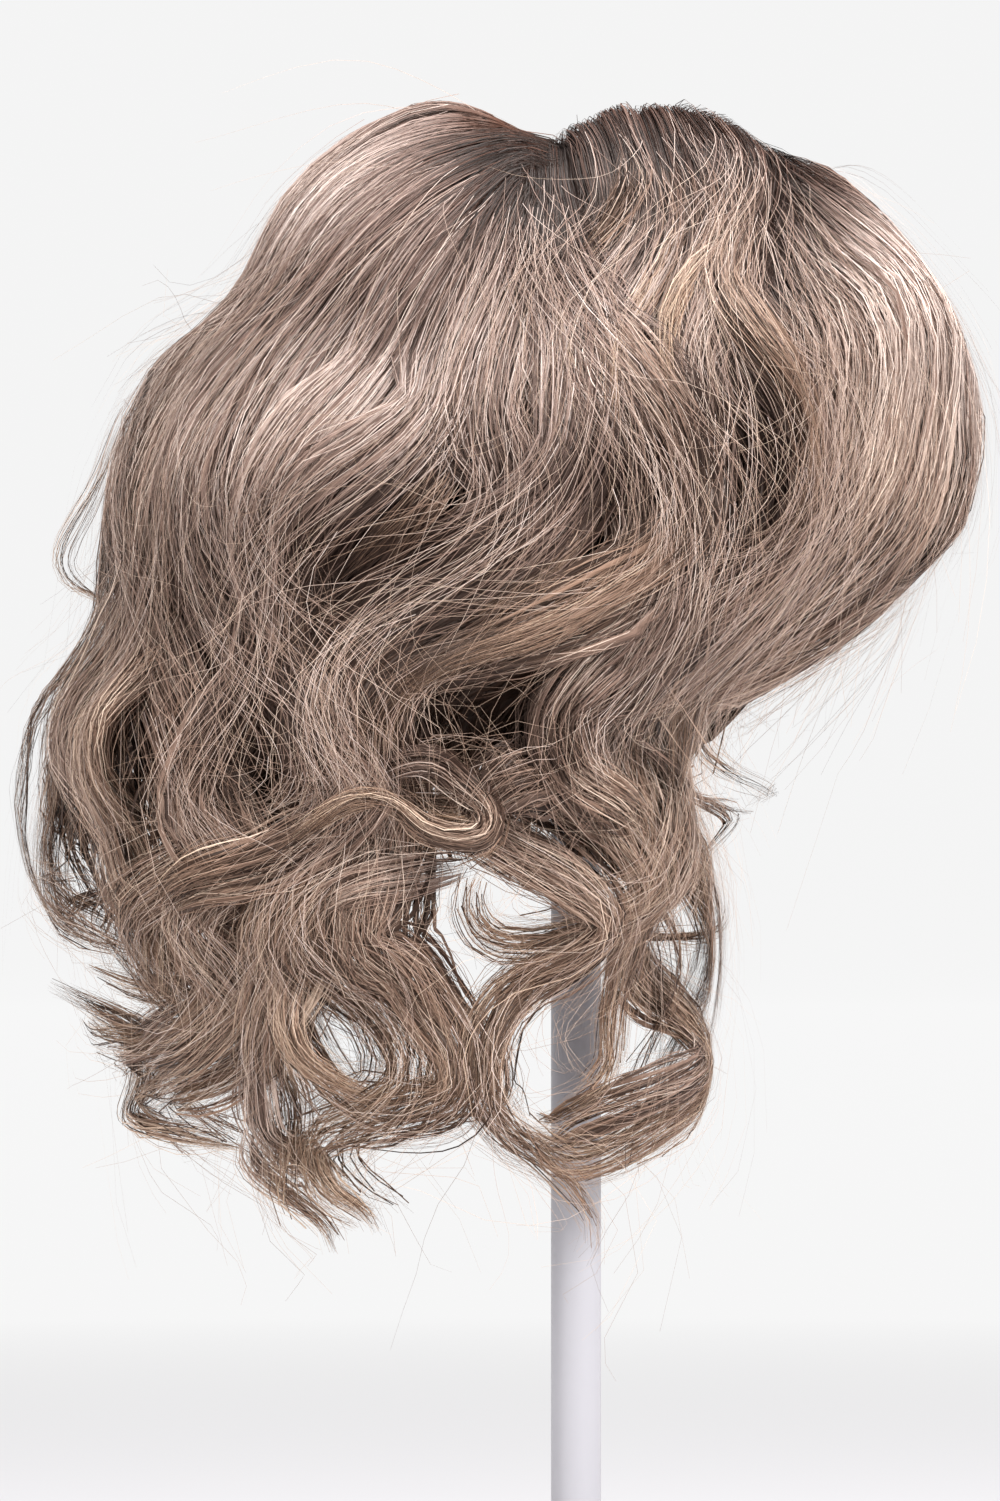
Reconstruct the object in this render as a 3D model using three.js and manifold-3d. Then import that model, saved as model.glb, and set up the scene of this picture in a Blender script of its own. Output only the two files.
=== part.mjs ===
// Wavy hair topper: long locks on a small net cap with snap clips, resting on a plain round display stand.
// Millimetres, +Z up. The origin is the middle of the stand's foot, and the hair's front faces -Y.

import * as THREE from "three";
import Module from "manifold-3d";

const wasm = await Module();
wasm.setup();

// Driving sizes
const FIT_GAP = 0.3;
const BASE_RADIUS = 100;
const BASE_EDGE = 9;
const BASE_CROWN = 14;
const BASE_ROUND = 4;
const COLLAR_RADIUS = 13;
const COLLAR_TOP = 24;
const POLE_RADIUS = 8;
const POLE_FOOT = 4;
const REST_RADIUS = 22;
const REST_RISE = 16;
const REST_SKIRT = 5;
const REST_SOCKET = 5;
const CAP_HALF_WIDTH = 56;
const CAP_HALF_DEPTH = 60;
const CAP_RIM = 447;
const CAP_RISE = 38;
const CAP_WALL = 1.6;
const CLIP_LENGTH = 34;
const CLIP_HEIGHT = 9;
const CLIP_WALL = 1.4;
const CLIP_ABOVE_RIM = 2;
const CLIP_SEAT = 1.1;
const REST_FOOT = CAP_RIM + CAP_RISE - CAP_WALL - FIT_GAP - REST_RISE - REST_SKIRT;

// Hair sizes
const LOCK_THICKNESS = 13;
const LOCK_ROOT_SHARE = 0.35;
const LOCK_CURL_SHARE = 1.3;
const LOCK_TIP_SHARE = 0.4;
const LOCK_SWOLLEN_AT = 0.25;
const LOCK_CURL_FROM = 0.4;
const LOCK_CURL_AT = 0.65;
const LOCK_TIP_FROM = 0.8;
const EDGE_DEPTH = 0.14;
const BEND_LIMIT = 0.8;
const BEND_REACH = 0.01;
const LEAST_TURN = 1e-4;
const BACK_DEPTH = 0.9;
const BACK_WIDTH = 1.5;
const CURL_DEPTH = 9;
const CURL_START = 350;
const CURL_FULL = 280;
const CROWN_FROM = 400;
const CROWN_RISE = 110;
const VEIL_LAYER = 0.9;
const VEIL_WALL = 10;
const VEIL_TOP = 488;
const VEIL_CEILING = 440;
const VEIL_HEM = 272;
const VEIL_HEM_WAVE = 10;
const VEIL_HEM_WAVES = 8;

// Smoothness
const ROUND_SIDES = 28;
const LOCK_SIDES = 3;
const FINE_BELOW = 250;
const VEIL_SIDES = 20;
const CAP_SIDES = 24;
const DOME_SHARES = [0.94, 0.78, 0.53, 0.26, 0];
const CLIP_STEPS = 6;
const ROUND_STEPS = 2;

// Snap clips round the rim, each with the radius of the rim that it lies along
const CLIPS = [
  { name: "clip_right", turn: 0, radius: CAP_HALF_DEPTH },
  { name: "clip_back", turn: Math.PI / 2, radius: CAP_HALF_WIDTH },
  { name: "clip_left", turn: Math.PI, radius: CAP_HALF_DEPTH },
  { name: "clip_front", turn: -Math.PI / 2, radius: CAP_HALF_WIDTH },
];

// Outline of the hair mass, a row for each height: its left and right edges and its depth before the pole.
const OUTLINE = [
  { up: 130, left: -100, right: 20, front: 60 },
  { up: 170, left: -120, right: 36, front: 74 },
  { up: 200, left: -150, right: 42, front: 88 },
  { up: 230, left: -158, right: 42, front: 98 },
  { up: 260, left: -172, right: 42, front: 106 },
  { up: 290, left: -180, right: 42, front: 110 },
  { up: 315, left: -172, right: 50, front: 112 },
  { up: 340, left: -152, right: 92, front: 114 },
  { up: 370, left: -150, right: 122, front: 114 },
  { up: 400, left: -148, right: 130, front: 110 },
  { up: 425, left: -132, right: 127, front: 102 },
  { up: 450, left: -108, right: 116, front: 88 },
  { up: 475, left: -98, right: 96, front: 62 },
  { up: 490, left: -84, right: 76, front: 42 },
  { up: 500, left: -72, right: 60, front: 28 },
  { up: 508, left: -52, right: 42, front: 10 },
];

// Locks of the front, a row for each. root: its root's depth before the pole; layer: its depth as a share of
// the outline's; width: its width where it falls; behind: how many bends its partner at the back has, if any;
// bends: across and up, from root to tip.
const LOCKS = [
  {
    name: "crown_left", root: 3, layer: 1.0, width: 20, behind: 14,
    bends: [
      [-13, 494], [-30, 503], [-50, 504], [-72, 495], [-92, 475], [-104, 452], [-120, 433], [-138, 416],
      [-146, 394], [-145, 365], [-140, 335], [-135, 312], [-124, 293], [-109, 276], [-100, 258], [-104, 240],
      [-110, 224], [-118, 210], [-133, 205], [-145, 198], [-147, 188], [-136, 183], [-107, 176],
    ],
  },
  {
    name: "left_outer", root: 10, layer: 0.98, width: 20, behind: 0,
    bends: [
      [-13, 493], [-36, 499], [-60, 492], [-82, 471], [-97, 447], [-116, 429], [-134, 409], [-142, 382],
      [-141, 355], [-150, 334], [-166, 314], [-175, 292], [-171, 268], [-158, 251], [-143, 241], [-134, 229],
    ],
  },
  {
    name: "left_loop", root: 17, layer: 1.0, width: 20, behind: 12,
    bends: [
      [-13, 491], [-42, 491], [-68, 479], [-86, 458], [-100, 436], [-118, 417], [-130, 392], [-133, 362],
      [-140, 332], [-151, 310], [-154, 290], [-146, 270], [-134, 252], [-128, 236], [-135, 224], [-147, 229],
    ],
  },
  {
    name: "left_wave", root: 24, layer: 1.02, width: 20, behind: 0,
    bends: [
      [-13, 489], [-44, 483], [-68, 465], [-84, 445], [-102, 424], [-119, 400], [-124, 370], [-117, 342],
      [-102, 322], [-86, 307], [-84, 291], [-98, 274], [-120, 262], [-134, 248], [-132, 230], [-121, 216],
      [-130, 208], [-145, 209], [-157, 217],
    ],
  },
  {
    name: "left_fall", root: 31, layer: 1.02, width: 20, behind: 12,
    bends: [
      [-13, 486], [-40, 476], [-62, 457], [-80, 434], [-97, 409], [-107, 382], [-102, 356], [-88, 338],
      [-72, 324], [-65, 305], [-71, 286], [-88, 272], [-107, 262], [-117, 247], [-108, 230], [-99, 213],
      [-110, 199], [-123, 192], [-121, 184], [-97, 173],
    ],
  },
  {
    name: "left_inner", root: 38, layer: 1.02, width: 20, behind: 0,
    bends: [
      [-13, 483], [-36, 464], [-52, 441], [-66, 417], [-84, 396], [-95, 372], [-96, 346], [-103, 322],
      [-114, 302], [-117, 282], [-105, 266], [-88, 256], [-86, 240], [-93, 222], [-99, 203], [-98, 186],
      [-95, 172], [-89, 159], [-79, 147],
    ],
  },
  {
    name: "left_front", root: 45, layer: 1.04, width: 24, behind: 11,
    bends: [
      [-13, 479], [-28, 450], [-38, 425], [-45, 403], [-59, 388], [-78, 373], [-92, 354], [-96, 334],
      [-88, 316], [-74, 302], [-62, 290], [-66, 274], [-83, 262], [-92, 244], [-92, 226], [-85, 206],
      [-72, 193], [-56, 188], [-42, 192],
    ],
  },
  {
    name: "centre_left", root: 50, layer: 1.04, width: 24, behind: 11,
    bends: [
      [-12, 478], [-16, 452], [-24, 427], [-28, 402], [-22, 381], [-27, 365], [-43, 353], [-62, 342],
      [-76, 328], [-79, 309], [-70, 291], [-72, 272], [-86, 258], [-84, 240], [-70, 226], [-58, 214],
      [-54, 200], [-64, 188], [-80, 180],
    ],
  },
  {
    name: "centre", root: 51, layer: 1.06, width: 24, behind: 0,
    bends: [
      [-11, 478], [-7, 455], [1, 432], [2, 408], [-2, 388], [-14, 371], [-34, 358], [-56, 347],
      [-72, 330], [-76, 311], [-66, 293], [-58, 276], [-62, 257], [-66, 242], [-54, 232], [-43, 219],
      [-36, 204], [-39, 192], [-53, 187], [-70, 184], [-84, 177], [-77, 166], [-67, 157], [-66, 147],
    ],
  },
  {
    name: "centre_right", root: 48, layer: 1.06, width: 22, behind: 0,
    bends: [
      [-10, 480], [-9, 450], [3, 430], [18, 412], [27, 395], [31, 370], [28, 345], [14, 325],
      [-1, 311], [-3, 296], [8, 284], [26, 275], [36, 264], [39, 240], [40, 215], [36, 194],
      [26, 176], [20, 164],
    ],
  },
  {
    name: "hump_inner", root: 8, layer: 1.04, width: 22, behind: 12,
    bends: [
      [6, 497], [12, 486], [14, 470], [6, 453], [-2, 438], [-5, 420], [4, 402], [16, 388],
      [22, 370], [16, 353], [-8, 341], [-32, 333], [-52, 324], [-62, 306], [-58, 291], [-42, 290],
      [-29, 283], [-34, 275], [-48, 276], [-60, 284], [-76, 282],
    ],
  },
  {
    name: "hump_left", root: 4, layer: 1.04, width: 22, behind: 0,
    bends: [
      [20, 503], [25, 487], [28, 471], [25, 455], [15, 438], [9, 424], [15, 407], [26, 391],
      [34, 371], [32, 348], [20, 326], [8, 307], [-6, 294], [-22, 289], [-30, 280], [-17, 272],
      [0, 260], [6, 246], [0, 234], [-14, 225], [-27, 210], [-30, 196], [-20, 182], [-5, 173],
      [4, 160], [3, 146], [-8, 135],
    ],
  },
  {
    name: "hump_middle", root: 2, layer: 1.0, width: 22, behind: 12,
    bends: [
      [32, 503], [39, 487], [46, 470], [47, 453], [40, 437], [34, 420], [38, 402], [46, 386],
      [48, 362], [40, 340], [28, 322], [22, 300], [25, 279], [18, 259], [4, 247], [-14, 242],
      [-28, 247], [-33, 258], [-22, 266],
    ],
  },
  {
    name: "hump_top", root: 2, layer: 1.0, width: 22, behind: 0,
    bends: [
      [44, 502], [52, 489], [50, 473], [42, 459], [36, 444], [40, 427], [47, 410], [48, 385],
      [42, 360], [30, 342], [20, 320], [11, 300], [15, 279], [20, 258], [19, 238], [20, 218],
      [13, 200], [-2, 189], [-14, 182],
    ],
  },
  {
    name: "hump_right", root: 4, layer: 1.0, width: 22, behind: 12,
    bends: [
      [52, 500], [60, 487], [57, 470], [50, 455], [47, 440], [53, 424], [64, 410], [71, 392],
      [70, 370], [58, 350], [42, 334], [33, 316], [34, 292], [28, 268], [22, 245], [28, 232],
      [38, 215], [38, 198], [28, 182], [12, 172], [-6, 174], [-20, 185], [-28, 196],
    ],
  },
  {
    name: "sweep_outer", root: 2, layer: 1.0, width: 24, behind: 11,
    bends: [
      [60, 488], [80, 485], [100, 469], [116, 446], [125, 418], [126, 392], [117, 367], [101, 349],
      [81, 336], [59, 325], [42, 316], [36, 300], [35, 280], [37, 258], [40, 232], [39, 205],
    ],
  },
  {
    name: "sweep_high", root: 10, layer: 1.0, width: 24, behind: 0,
    bends: [
      [60, 486], [82, 475], [102, 450], [111, 420], [109, 390], [97, 362], [78, 345], [57, 331],
      [40, 318], [31, 300], [31, 275],
    ],
  },
  {
    name: "sweep_middle", root: 18, layer: 1.0, width: 24, behind: 8,
    bends: [
      [60, 482], [79, 463], [93, 440], [99, 415], [95, 386], [81, 361], [62, 342], [43, 326],
    ],
  },
  {
    name: "sweep_low", root: 28, layer: 1.0, width: 24, behind: 0,
    bends: [
      [59, 476], [75, 455], [86, 430], [88, 405], [82, 380], [69, 358], [52, 340],
    ],
  },
  {
    name: "sweep_front", root: 38, layer: 1.0, width: 24, behind: 0,
    bends: [
      [58, 470], [67, 448], [75, 425], [77, 400], [72, 375], [59, 355],
    ],
  },
];

// Finishes of the pieces
const HAIR_FIBRE = { color: "#a48d82", roughness: 0.5, metalness: 0 };
const CAP_NET = { color: "#5b4a42", roughness: 0.9, metalness: 0 };
const CLIP_METAL = { color: "#3a3331", roughness: 0.35, metalness: 0.9 };
const STAND_WHITE = { color: "#eeedf0", roughness: 0.5, metalness: 0 };

// Edges and depth of the hair mass at one height, between the rows of the outline
function outlineAt(up) {
  const above = OUTLINE.findIndex((row) => row.up > up);
  const index = above < 0 ? OUTLINE.length - 1 : Math.max(above, 1);
  const low = OUTLINE[index - 1];
  const high = OUTLINE[index];
  const share = THREE.MathUtils.clamp((up - low.up) / (high.up - low.up), 0, 1);
  const left = THREE.MathUtils.lerp(low.left, high.left, share);
  const right = THREE.MathUtils.lerp(low.right, high.right, share);
  const front = THREE.MathUtils.lerp(low.front, high.front, share);
  return { middle: (left + right) / 2, half: (right - left) / 2, front };
}

// Point on the hair mass at a place in the front view, before the pole or behind it
function pointOnMass(across, up, layer, behind) {
  const { middle, half, front } = outlineAt(up);
  const side = THREE.MathUtils.clamp((across - middle) / half, -1, 1);
  const depth = layer * front * Math.max(Math.sqrt(1 - side * side), EDGE_DEPTH);
  return new THREE.Vector3(across, behind ? BACK_DEPTH * depth : -depth, up);
}

// Direction straight out of the hair mass at a point
function outOfMass(point) {
  const { middle, half, front } = outlineAt(point.z);
  const rise = Math.max(point.z - CROWN_FROM, 0);
  const out = new THREE.Vector3(
    (point.x - middle) / half ** 2,
    point.y / front ** 2,
    rise / CROWN_RISE ** 2,
  );
  return out.normalize();
}

// Middle line of a lock: it leaves the cap, lies on the hair mass and coils in depth as it falls
function lockCurve(lock, behind) {
  const bends = behind ? lock.bends.slice(0, lock.behind) : lock.bends;
  const points = bends.map(([across, up], index) => {
    const point = pointOnMass(across, up, lock.layer, behind);
    if (index === 0) {
      point.setY(behind ? lock.root : -lock.root);
    }
    const curl = 1 - THREE.MathUtils.smoothstep(up, CURL_FULL, CURL_START);
    point.addScaledVector(outOfMass(point), CURL_DEPTH * curl * Math.sin((index * Math.PI) / 2));
    return point;
  });
  return new THREE.CatmullRomCurve3(points, false, "centripetal");
}

// A lock's width from its root (0) to its tip (1), as a share of its width where it falls
function lockTaper(along) {
  const { lerp, smoothstep } = THREE.MathUtils;
  const swell = lerp(LOCK_ROOT_SHARE, 1, smoothstep(along, 0, LOCK_SWOLLEN_AT));
  const spread = lerp(1, LOCK_CURL_SHARE, smoothstep(along, LOCK_CURL_FROM, LOCK_CURL_AT));
  const point = lerp(1, LOCK_TIP_SHARE, smoothstep(along, LOCK_TIP_FROM, 1));
  return swell * spread * point;
}

// Places along a lock that get a ring: its bends, and halfway between them where it curls most
function lockSteps(curve) {
  const last = curve.points.length - 1;
  const steps = [];
  curve.points.forEach((point, index) => {
    steps.push(index / last);
    if (point.z < FINE_BELOW && index < last) {
      steps.push((index + 0.5) / last);
    }
  });
  return steps;
}

// Radius of the curve's bend, from its direction a little before and after
function bendRadius(curve, along) {
  const before = Math.max(along - BEND_REACH, 0);
  const after = Math.min(along + BEND_REACH, 1);
  const turn = curve.getTangent(before).angleTo(curve.getTangent(after));
  const run = curve.getPoint(before).distanceTo(curve.getPoint(after));
  return run / Math.max(turn, LEAST_TURN);
}

// Closed skin over rings of points that run in the same order, with a fan from a point over each end
function skinRings(rings, firstPoint = middleOf(rings[0]), lastPoint = middleOf(rings.at(-1))) {
  const sides = rings[0].length;
  const points = rings.flat();
  const first = points.push(firstPoint) - 1;
  const last = points.push(lastPoint) - 1;
  const end = (rings.length - 1) * sides;
  const faces = [];
  for (let side = 0; side < sides; side += 1) {
    const next = (side + 1) % sides;
    faces.push(first, side, next);
    faces.push(last, end + next, end + side);
    for (let row = 0; row < end; row += sides) {
      faces.push(row + side, row + sides + next, row + next);
      faces.push(row + side, row + sides + side, row + sides + next);
    }
  }
  const geometry = new THREE.BufferGeometry().setFromPoints(points);
  geometry.setIndex(faces);
  return geometry;
}

function middleOf(points) {
  const sum = points.reduce((total, point) => total.add(point), new THREE.Vector3());
  return sum.divideScalar(points.length);
}

// Flattened tapering tube along a lock's middle line, its broad side on the hair mass
function lockGeometry(lock, behind) {
  const curve = lockCurve(lock, behind);
  const rings = [];
  for (const along of lockSteps(curve)) {
    const centre = curve.getPoint(along);
    const ahead = curve.getTangent(along);
    const across = new THREE.Vector3().crossVectors(ahead, outOfMass(centre)).normalize();
    const out = new THREE.Vector3().crossVectors(across, ahead);
    const taper = lockTaper(along);
    const width = taper * lock.width * (behind ? BACK_WIDTH : 1);
    const halfWidth = Math.min(width / 2, BEND_LIMIT * bendRadius(curve, along));
    const halfThickness = Math.min((taper * LOCK_THICKNESS) / 2, halfWidth);
    const ring = [];
    for (let side = 0; side < LOCK_SIDES; side += 1) {
      const turn = (2 * Math.PI * side) / LOCK_SIDES + Math.PI / 2;
      const point = centre.clone();
      point.addScaledVector(across, halfWidth * Math.cos(turn));
      point.addScaledVector(out, halfThickness * Math.sin(turn));
      ring.push(point);
    }
    rings.push(ring);
  }
  return skinRings(rings);
}

// Ring of the hair mass at one height, drawn in by a share and by a wall, with a wavy height
function massRing(up, layer, wall, wave) {
  const ring = [];
  for (let side = 0; side < VEIL_SIDES; side += 1) {
    const turn = (2 * Math.PI * side) / VEIL_SIDES;
    const height = up + wave * Math.sin(VEIL_HEM_WAVES * turn);
    const { middle, half, front } = outlineAt(height);
    const depth = Math.sin(turn) > 0 ? BACK_DEPTH * front : front;
    const x = middle + (layer * half - wall) * Math.cos(turn);
    ring.push(new THREE.Vector3(x, (layer * depth - wall) * Math.sin(turn), height));
  }
  return ring;
}

// Inner layer of hair: a bell that hangs from the roots, hollow below the cap, with a ragged hem
function veilGeometry() {
  const heights = OUTLINE.map((row) => row.up).filter((up) => up > VEIL_HEM + VEIL_HEM_WAVE);
  const outer = [VEIL_TOP, ...heights.filter((up) => up < VEIL_TOP).reverse()];
  const inner = [...heights.filter((up) => up < VEIL_CEILING), VEIL_CEILING];
  const rings = outer.map((up) => massRing(up, VEIL_LAYER, 0, 0));
  rings.push(massRing(VEIL_HEM, VEIL_LAYER, 0, VEIL_HEM_WAVE));
  rings.push(massRing(VEIL_HEM, VEIL_LAYER, VEIL_WALL, VEIL_HEM_WAVE));
  rings.push(...inner.map((up) => massRing(up, VEIL_LAYER, VEIL_WALL, 0)));
  return skinRings(rings);
}

// Point of the cap's dome, grown by an amount, at a turn round it and a share of its rise
function domePoint(turn, share, grow) {
  const reach = Math.sqrt(1 - share * share);
  const x = (CAP_HALF_WIDTH + grow) * reach * Math.cos(turn);
  const y = (CAP_HALF_DEPTH + grow) * reach * Math.sin(turn);
  return new THREE.Vector3(x, y, CAP_RIM + (CAP_RISE + grow) * share);
}

function domeRing(share, grow) {
  const ring = [];
  for (let side = 0; side < CAP_SIDES; side += 1) {
    ring.push(domePoint((2 * Math.PI * side) / CAP_SIDES, share, grow));
  }
  return ring;
}

// Solid that keeps the hair off the cap and off the space below its rim
function capClearance() {
  const rings = DOME_SHARES.map((share) => domeRing(share, FIT_GAP));
  rings.push(domeRing(0, FIT_GAP).map((point) => point.setZ(VEIL_CEILING - VEIL_WALL)));
  return skinRings(rings, domePoint(0, 1, FIT_GAP));
}

// Net cap: an open dome with one thin wall
function capGeometry() {
  const outer = DOME_SHARES.map((share) => domeRing(share, 0));
  const inner = DOME_SHARES.map((share) => domeRing(share, -CAP_WALL)).reverse();
  return skinRings([...outer, ...inner], domePoint(0, 1, 0), domePoint(0, 1, -CAP_WALL));
}

// Snap clip: a plain strip bent along the inside of the cap's rim
function clipGeometry(middleTurn, radius) {
  const reach = CLIP_LENGTH / 2 / radius;
  const low = CLIP_ABOVE_RIM / CAP_RISE;
  const high = (CLIP_ABOVE_RIM + CLIP_HEIGHT) / CAP_RISE;
  const face = -CAP_WALL - CLIP_SEAT;
  const rings = [];
  for (let step = 0; step <= CLIP_STEPS; step += 1) {
    const turn = middleTurn + reach * ((2 * step) / CLIP_STEPS - 1);
    rings.push([
      domePoint(turn, low, face),
      domePoint(turn, high, face),
      domePoint(turn, high, face - CLIP_WALL),
      domePoint(turn, low, face - CLIP_WALL),
    ]);
  }
  return skinRings(rings);
}

// Solid from a closed geometry, for joining and cutting
function solidOf(geometry) {
  const vertProperties = new Float32Array(geometry.getAttribute("position").array);
  const triVerts = new Uint32Array(geometry.getIndex().array);
  return new wasm.Manifold(new wasm.Mesh({ numProp: 3, vertProperties, triVerts }));
}

function geometryOf(solid) {
  const { vertProperties, triVerts } = solid.getMesh();
  const geometry = new THREE.BufferGeometry();
  geometry.setAttribute("position", new THREE.BufferAttribute(vertProperties, 3));
  geometry.setIndex(new THREE.BufferAttribute(triVerts, 1));
  return geometry;
}

// All the hair in one body: the locks of both sides joined to the inner layer, with closed pockets filled
function hairGeometry() {
  const front = LOCKS.map((lock) => lockGeometry(lock, false));
  const back = LOCKS.filter((lock) => lock.behind > 0).map((lock) => lockGeometry(lock, true));
  const locks = [veilGeometry(), ...front, ...back].map(solidOf);
  const joined = wasm.Manifold.union(locks).subtract(solidOf(capClearance()));
  const bodies = joined.decompose();
  bodies.sort((one, other) => other.volume() - one.volume());
  return geometryOf(bodies[0]);
}

// Turned shape from a profile of radius and height that runs from the axis at the foot to the axis above
function turned(profile) {
  const geometry = new THREE.LatheGeometry(profile, ROUND_SIDES);
  return geometry.rotateX(Math.PI / 2);
}

// Stand's foot: a low disc with a collar and a socket for the pole
function baseGeometry() {
  const socket = POLE_RADIUS + FIT_GAP;
  const profile = new THREE.Path();
  profile.moveTo(0, 0);
  profile.lineTo(BASE_RADIUS, 0);
  profile.lineTo(BASE_RADIUS, BASE_EDGE - BASE_ROUND);
  profile.quadraticCurveTo(BASE_RADIUS, BASE_EDGE, BASE_RADIUS - BASE_ROUND, BASE_EDGE);
  profile.lineTo(COLLAR_RADIUS + BASE_ROUND, BASE_CROWN);
  profile.quadraticCurveTo(COLLAR_RADIUS, BASE_CROWN, COLLAR_RADIUS, BASE_CROWN + BASE_ROUND);
  profile.lineTo(COLLAR_RADIUS, COLLAR_TOP);
  profile.lineTo(socket, COLLAR_TOP);
  profile.lineTo(socket, POLE_FOOT);
  profile.lineTo(0, POLE_FOOT);
  return turned(profile.getPoints(ROUND_STEPS));
}

// Stand's pole: a straight round bar from the foot's socket to the rest's
function poleGeometry() {
  const foot = POLE_FOOT + FIT_GAP;
  const top = REST_FOOT + REST_SOCKET - FIT_GAP;
  const corners = [[0, foot], [POLE_RADIUS, foot], [POLE_RADIUS, top], [0, top]];
  return turned(corners.map(([radius, up]) => new THREE.Vector2(radius, up)));
}

// Stand's rest: a rounded head under the cap with a socket for the pole
function restGeometry() {
  const socket = POLE_RADIUS + FIT_GAP;
  const shoulder = REST_FOOT + REST_SKIRT;
  const profile = new THREE.Path();
  profile.moveTo(0, REST_FOOT + REST_SOCKET);
  profile.lineTo(socket, REST_FOOT + REST_SOCKET);
  profile.lineTo(socket, REST_FOOT);
  profile.lineTo(REST_RADIUS - REST_SKIRT, REST_FOOT);
  profile.quadraticCurveTo(REST_RADIUS, REST_FOOT, REST_RADIUS, shoulder);
  profile.absellipse(0, shoulder, REST_RADIUS, REST_RISE, 0, Math.PI / 2);
  return turned(profile.getPoints(ROUND_STEPS));
}

function piece(name, geometry, finish) {
  const mesh = new THREE.Mesh(geometry, new THREE.MeshStandardMaterial(finish));
  mesh.name = name;
  return mesh;
}

const topper = new THREE.Group();
topper.add(piece("hair", hairGeometry(), HAIR_FIBRE));
topper.add(piece("cap_base", capGeometry(), CAP_NET));
for (const { name, turn, radius } of CLIPS) {
  topper.add(piece(name, clipGeometry(turn, radius), CLIP_METAL));
}

const stand = new THREE.Group();
stand.add(piece("stand_top", restGeometry(), STAND_WHITE));
stand.add(piece("stand_pole", poleGeometry(), STAND_WHITE));
stand.add(piece("stand_base", baseGeometry(), STAND_WHITE));

const model = new THREE.Group();
model.add(topper, stand);

export default model;
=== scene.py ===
import math
from collections import namedtuple

import bmesh
import bpy
import numpy as np
from bpy.props import FloatProperty, FloatVectorProperty, IntProperty, PointerProperty
from bpy.types import Operator, Panel, PropertyGroup
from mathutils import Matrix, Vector


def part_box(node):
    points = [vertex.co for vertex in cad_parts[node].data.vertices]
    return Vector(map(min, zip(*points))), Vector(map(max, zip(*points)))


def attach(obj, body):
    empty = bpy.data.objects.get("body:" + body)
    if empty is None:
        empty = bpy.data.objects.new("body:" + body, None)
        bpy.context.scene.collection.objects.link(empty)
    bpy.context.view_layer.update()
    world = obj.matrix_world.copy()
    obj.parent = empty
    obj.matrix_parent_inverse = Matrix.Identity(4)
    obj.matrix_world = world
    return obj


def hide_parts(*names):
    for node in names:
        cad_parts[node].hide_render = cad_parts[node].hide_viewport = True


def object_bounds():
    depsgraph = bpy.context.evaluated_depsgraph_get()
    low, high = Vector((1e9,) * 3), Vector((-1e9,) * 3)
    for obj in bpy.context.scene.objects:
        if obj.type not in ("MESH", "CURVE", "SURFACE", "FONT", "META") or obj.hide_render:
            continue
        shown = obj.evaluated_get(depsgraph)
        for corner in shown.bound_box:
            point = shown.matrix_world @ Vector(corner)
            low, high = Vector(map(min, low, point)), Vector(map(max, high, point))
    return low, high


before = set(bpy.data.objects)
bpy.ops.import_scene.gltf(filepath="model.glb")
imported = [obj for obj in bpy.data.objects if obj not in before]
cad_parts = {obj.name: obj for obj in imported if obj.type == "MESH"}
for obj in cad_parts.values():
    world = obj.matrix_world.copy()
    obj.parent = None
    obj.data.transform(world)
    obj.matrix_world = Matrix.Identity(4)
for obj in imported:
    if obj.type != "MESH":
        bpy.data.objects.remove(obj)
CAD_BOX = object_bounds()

bl_info = {
    "name": "Wavy Hair Topper",
    "version": (1, 0, 0),
    "blender": (4, 5, 0),
    "location": "View3D > Sidebar > Topper",
    "description": "Dresses a wavy hair topper and its stand with strands, net, clips and soft light",
    "category": "Object",
}

MM = 0.001
SEED = 20
BODY = "root"
STRAND_MAP = "OFBake"

# The photograph's frame, in pixels, and what one pixel covers at the pole, in millimetres
PHOTO_WIDTH = 1000
PHOTO_HEIGHT = 1501
PIXEL_MM = 0.32
POLE_PIXEL = 576
PHOTO_FOOT_MM = 60

# Outline of the hair mass in millimetres, a row for each height: left and right edges, depth at the front
OutlineRow = namedtuple("OutlineRow", "up left right front")
OUTLINE = [
    OutlineRow(130, -100, 20, 60),
    OutlineRow(170, -120, 36, 74),
    OutlineRow(200, -150, 42, 88),
    OutlineRow(230, -158, 42, 98),
    OutlineRow(260, -172, 42, 106),
    OutlineRow(290, -180, 42, 110),
    OutlineRow(315, -172, 50, 112),
    OutlineRow(340, -152, 92, 114),
    OutlineRow(370, -150, 122, 114),
    OutlineRow(400, -148, 130, 110),
    OutlineRow(425, -132, 127, 102),
    OutlineRow(450, -108, 116, 88),
    OutlineRow(475, -98, 96, 62),
    OutlineRow(490, -84, 76, 42),
    OutlineRow(500, -72, 60, 28),
    OutlineRow(508, -52, 42, 10),
]

# Top of the hair seen from the front, in millimetres, from left to right
CrestRow = namedtuple("CrestRow", "across up")
CREST = [
    CrestRow(-178, 310),
    CrestRow(-158, 336),
    CrestRow(-150, 382),
    CrestRow(-147, 400),
    CrestRow(-140, 419),
    CrestRow(-118, 434),
    CrestRow(-105, 452),
    CrestRow(-92, 477),
    CrestRow(-72, 495),
    CrestRow(-45, 504),
    CrestRow(-20, 497),
    CrestRow(-12, 493),
    CrestRow(-2, 499),
    CrestRow(15, 507),
    CrestRow(30, 509),
    CrestRow(50, 503),
    CrestRow(64, 493),
    CrestRow(82, 485),
    CrestRow(101, 465),
    CrestRow(119, 437),
    CrestRow(130, 405),
]

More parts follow.
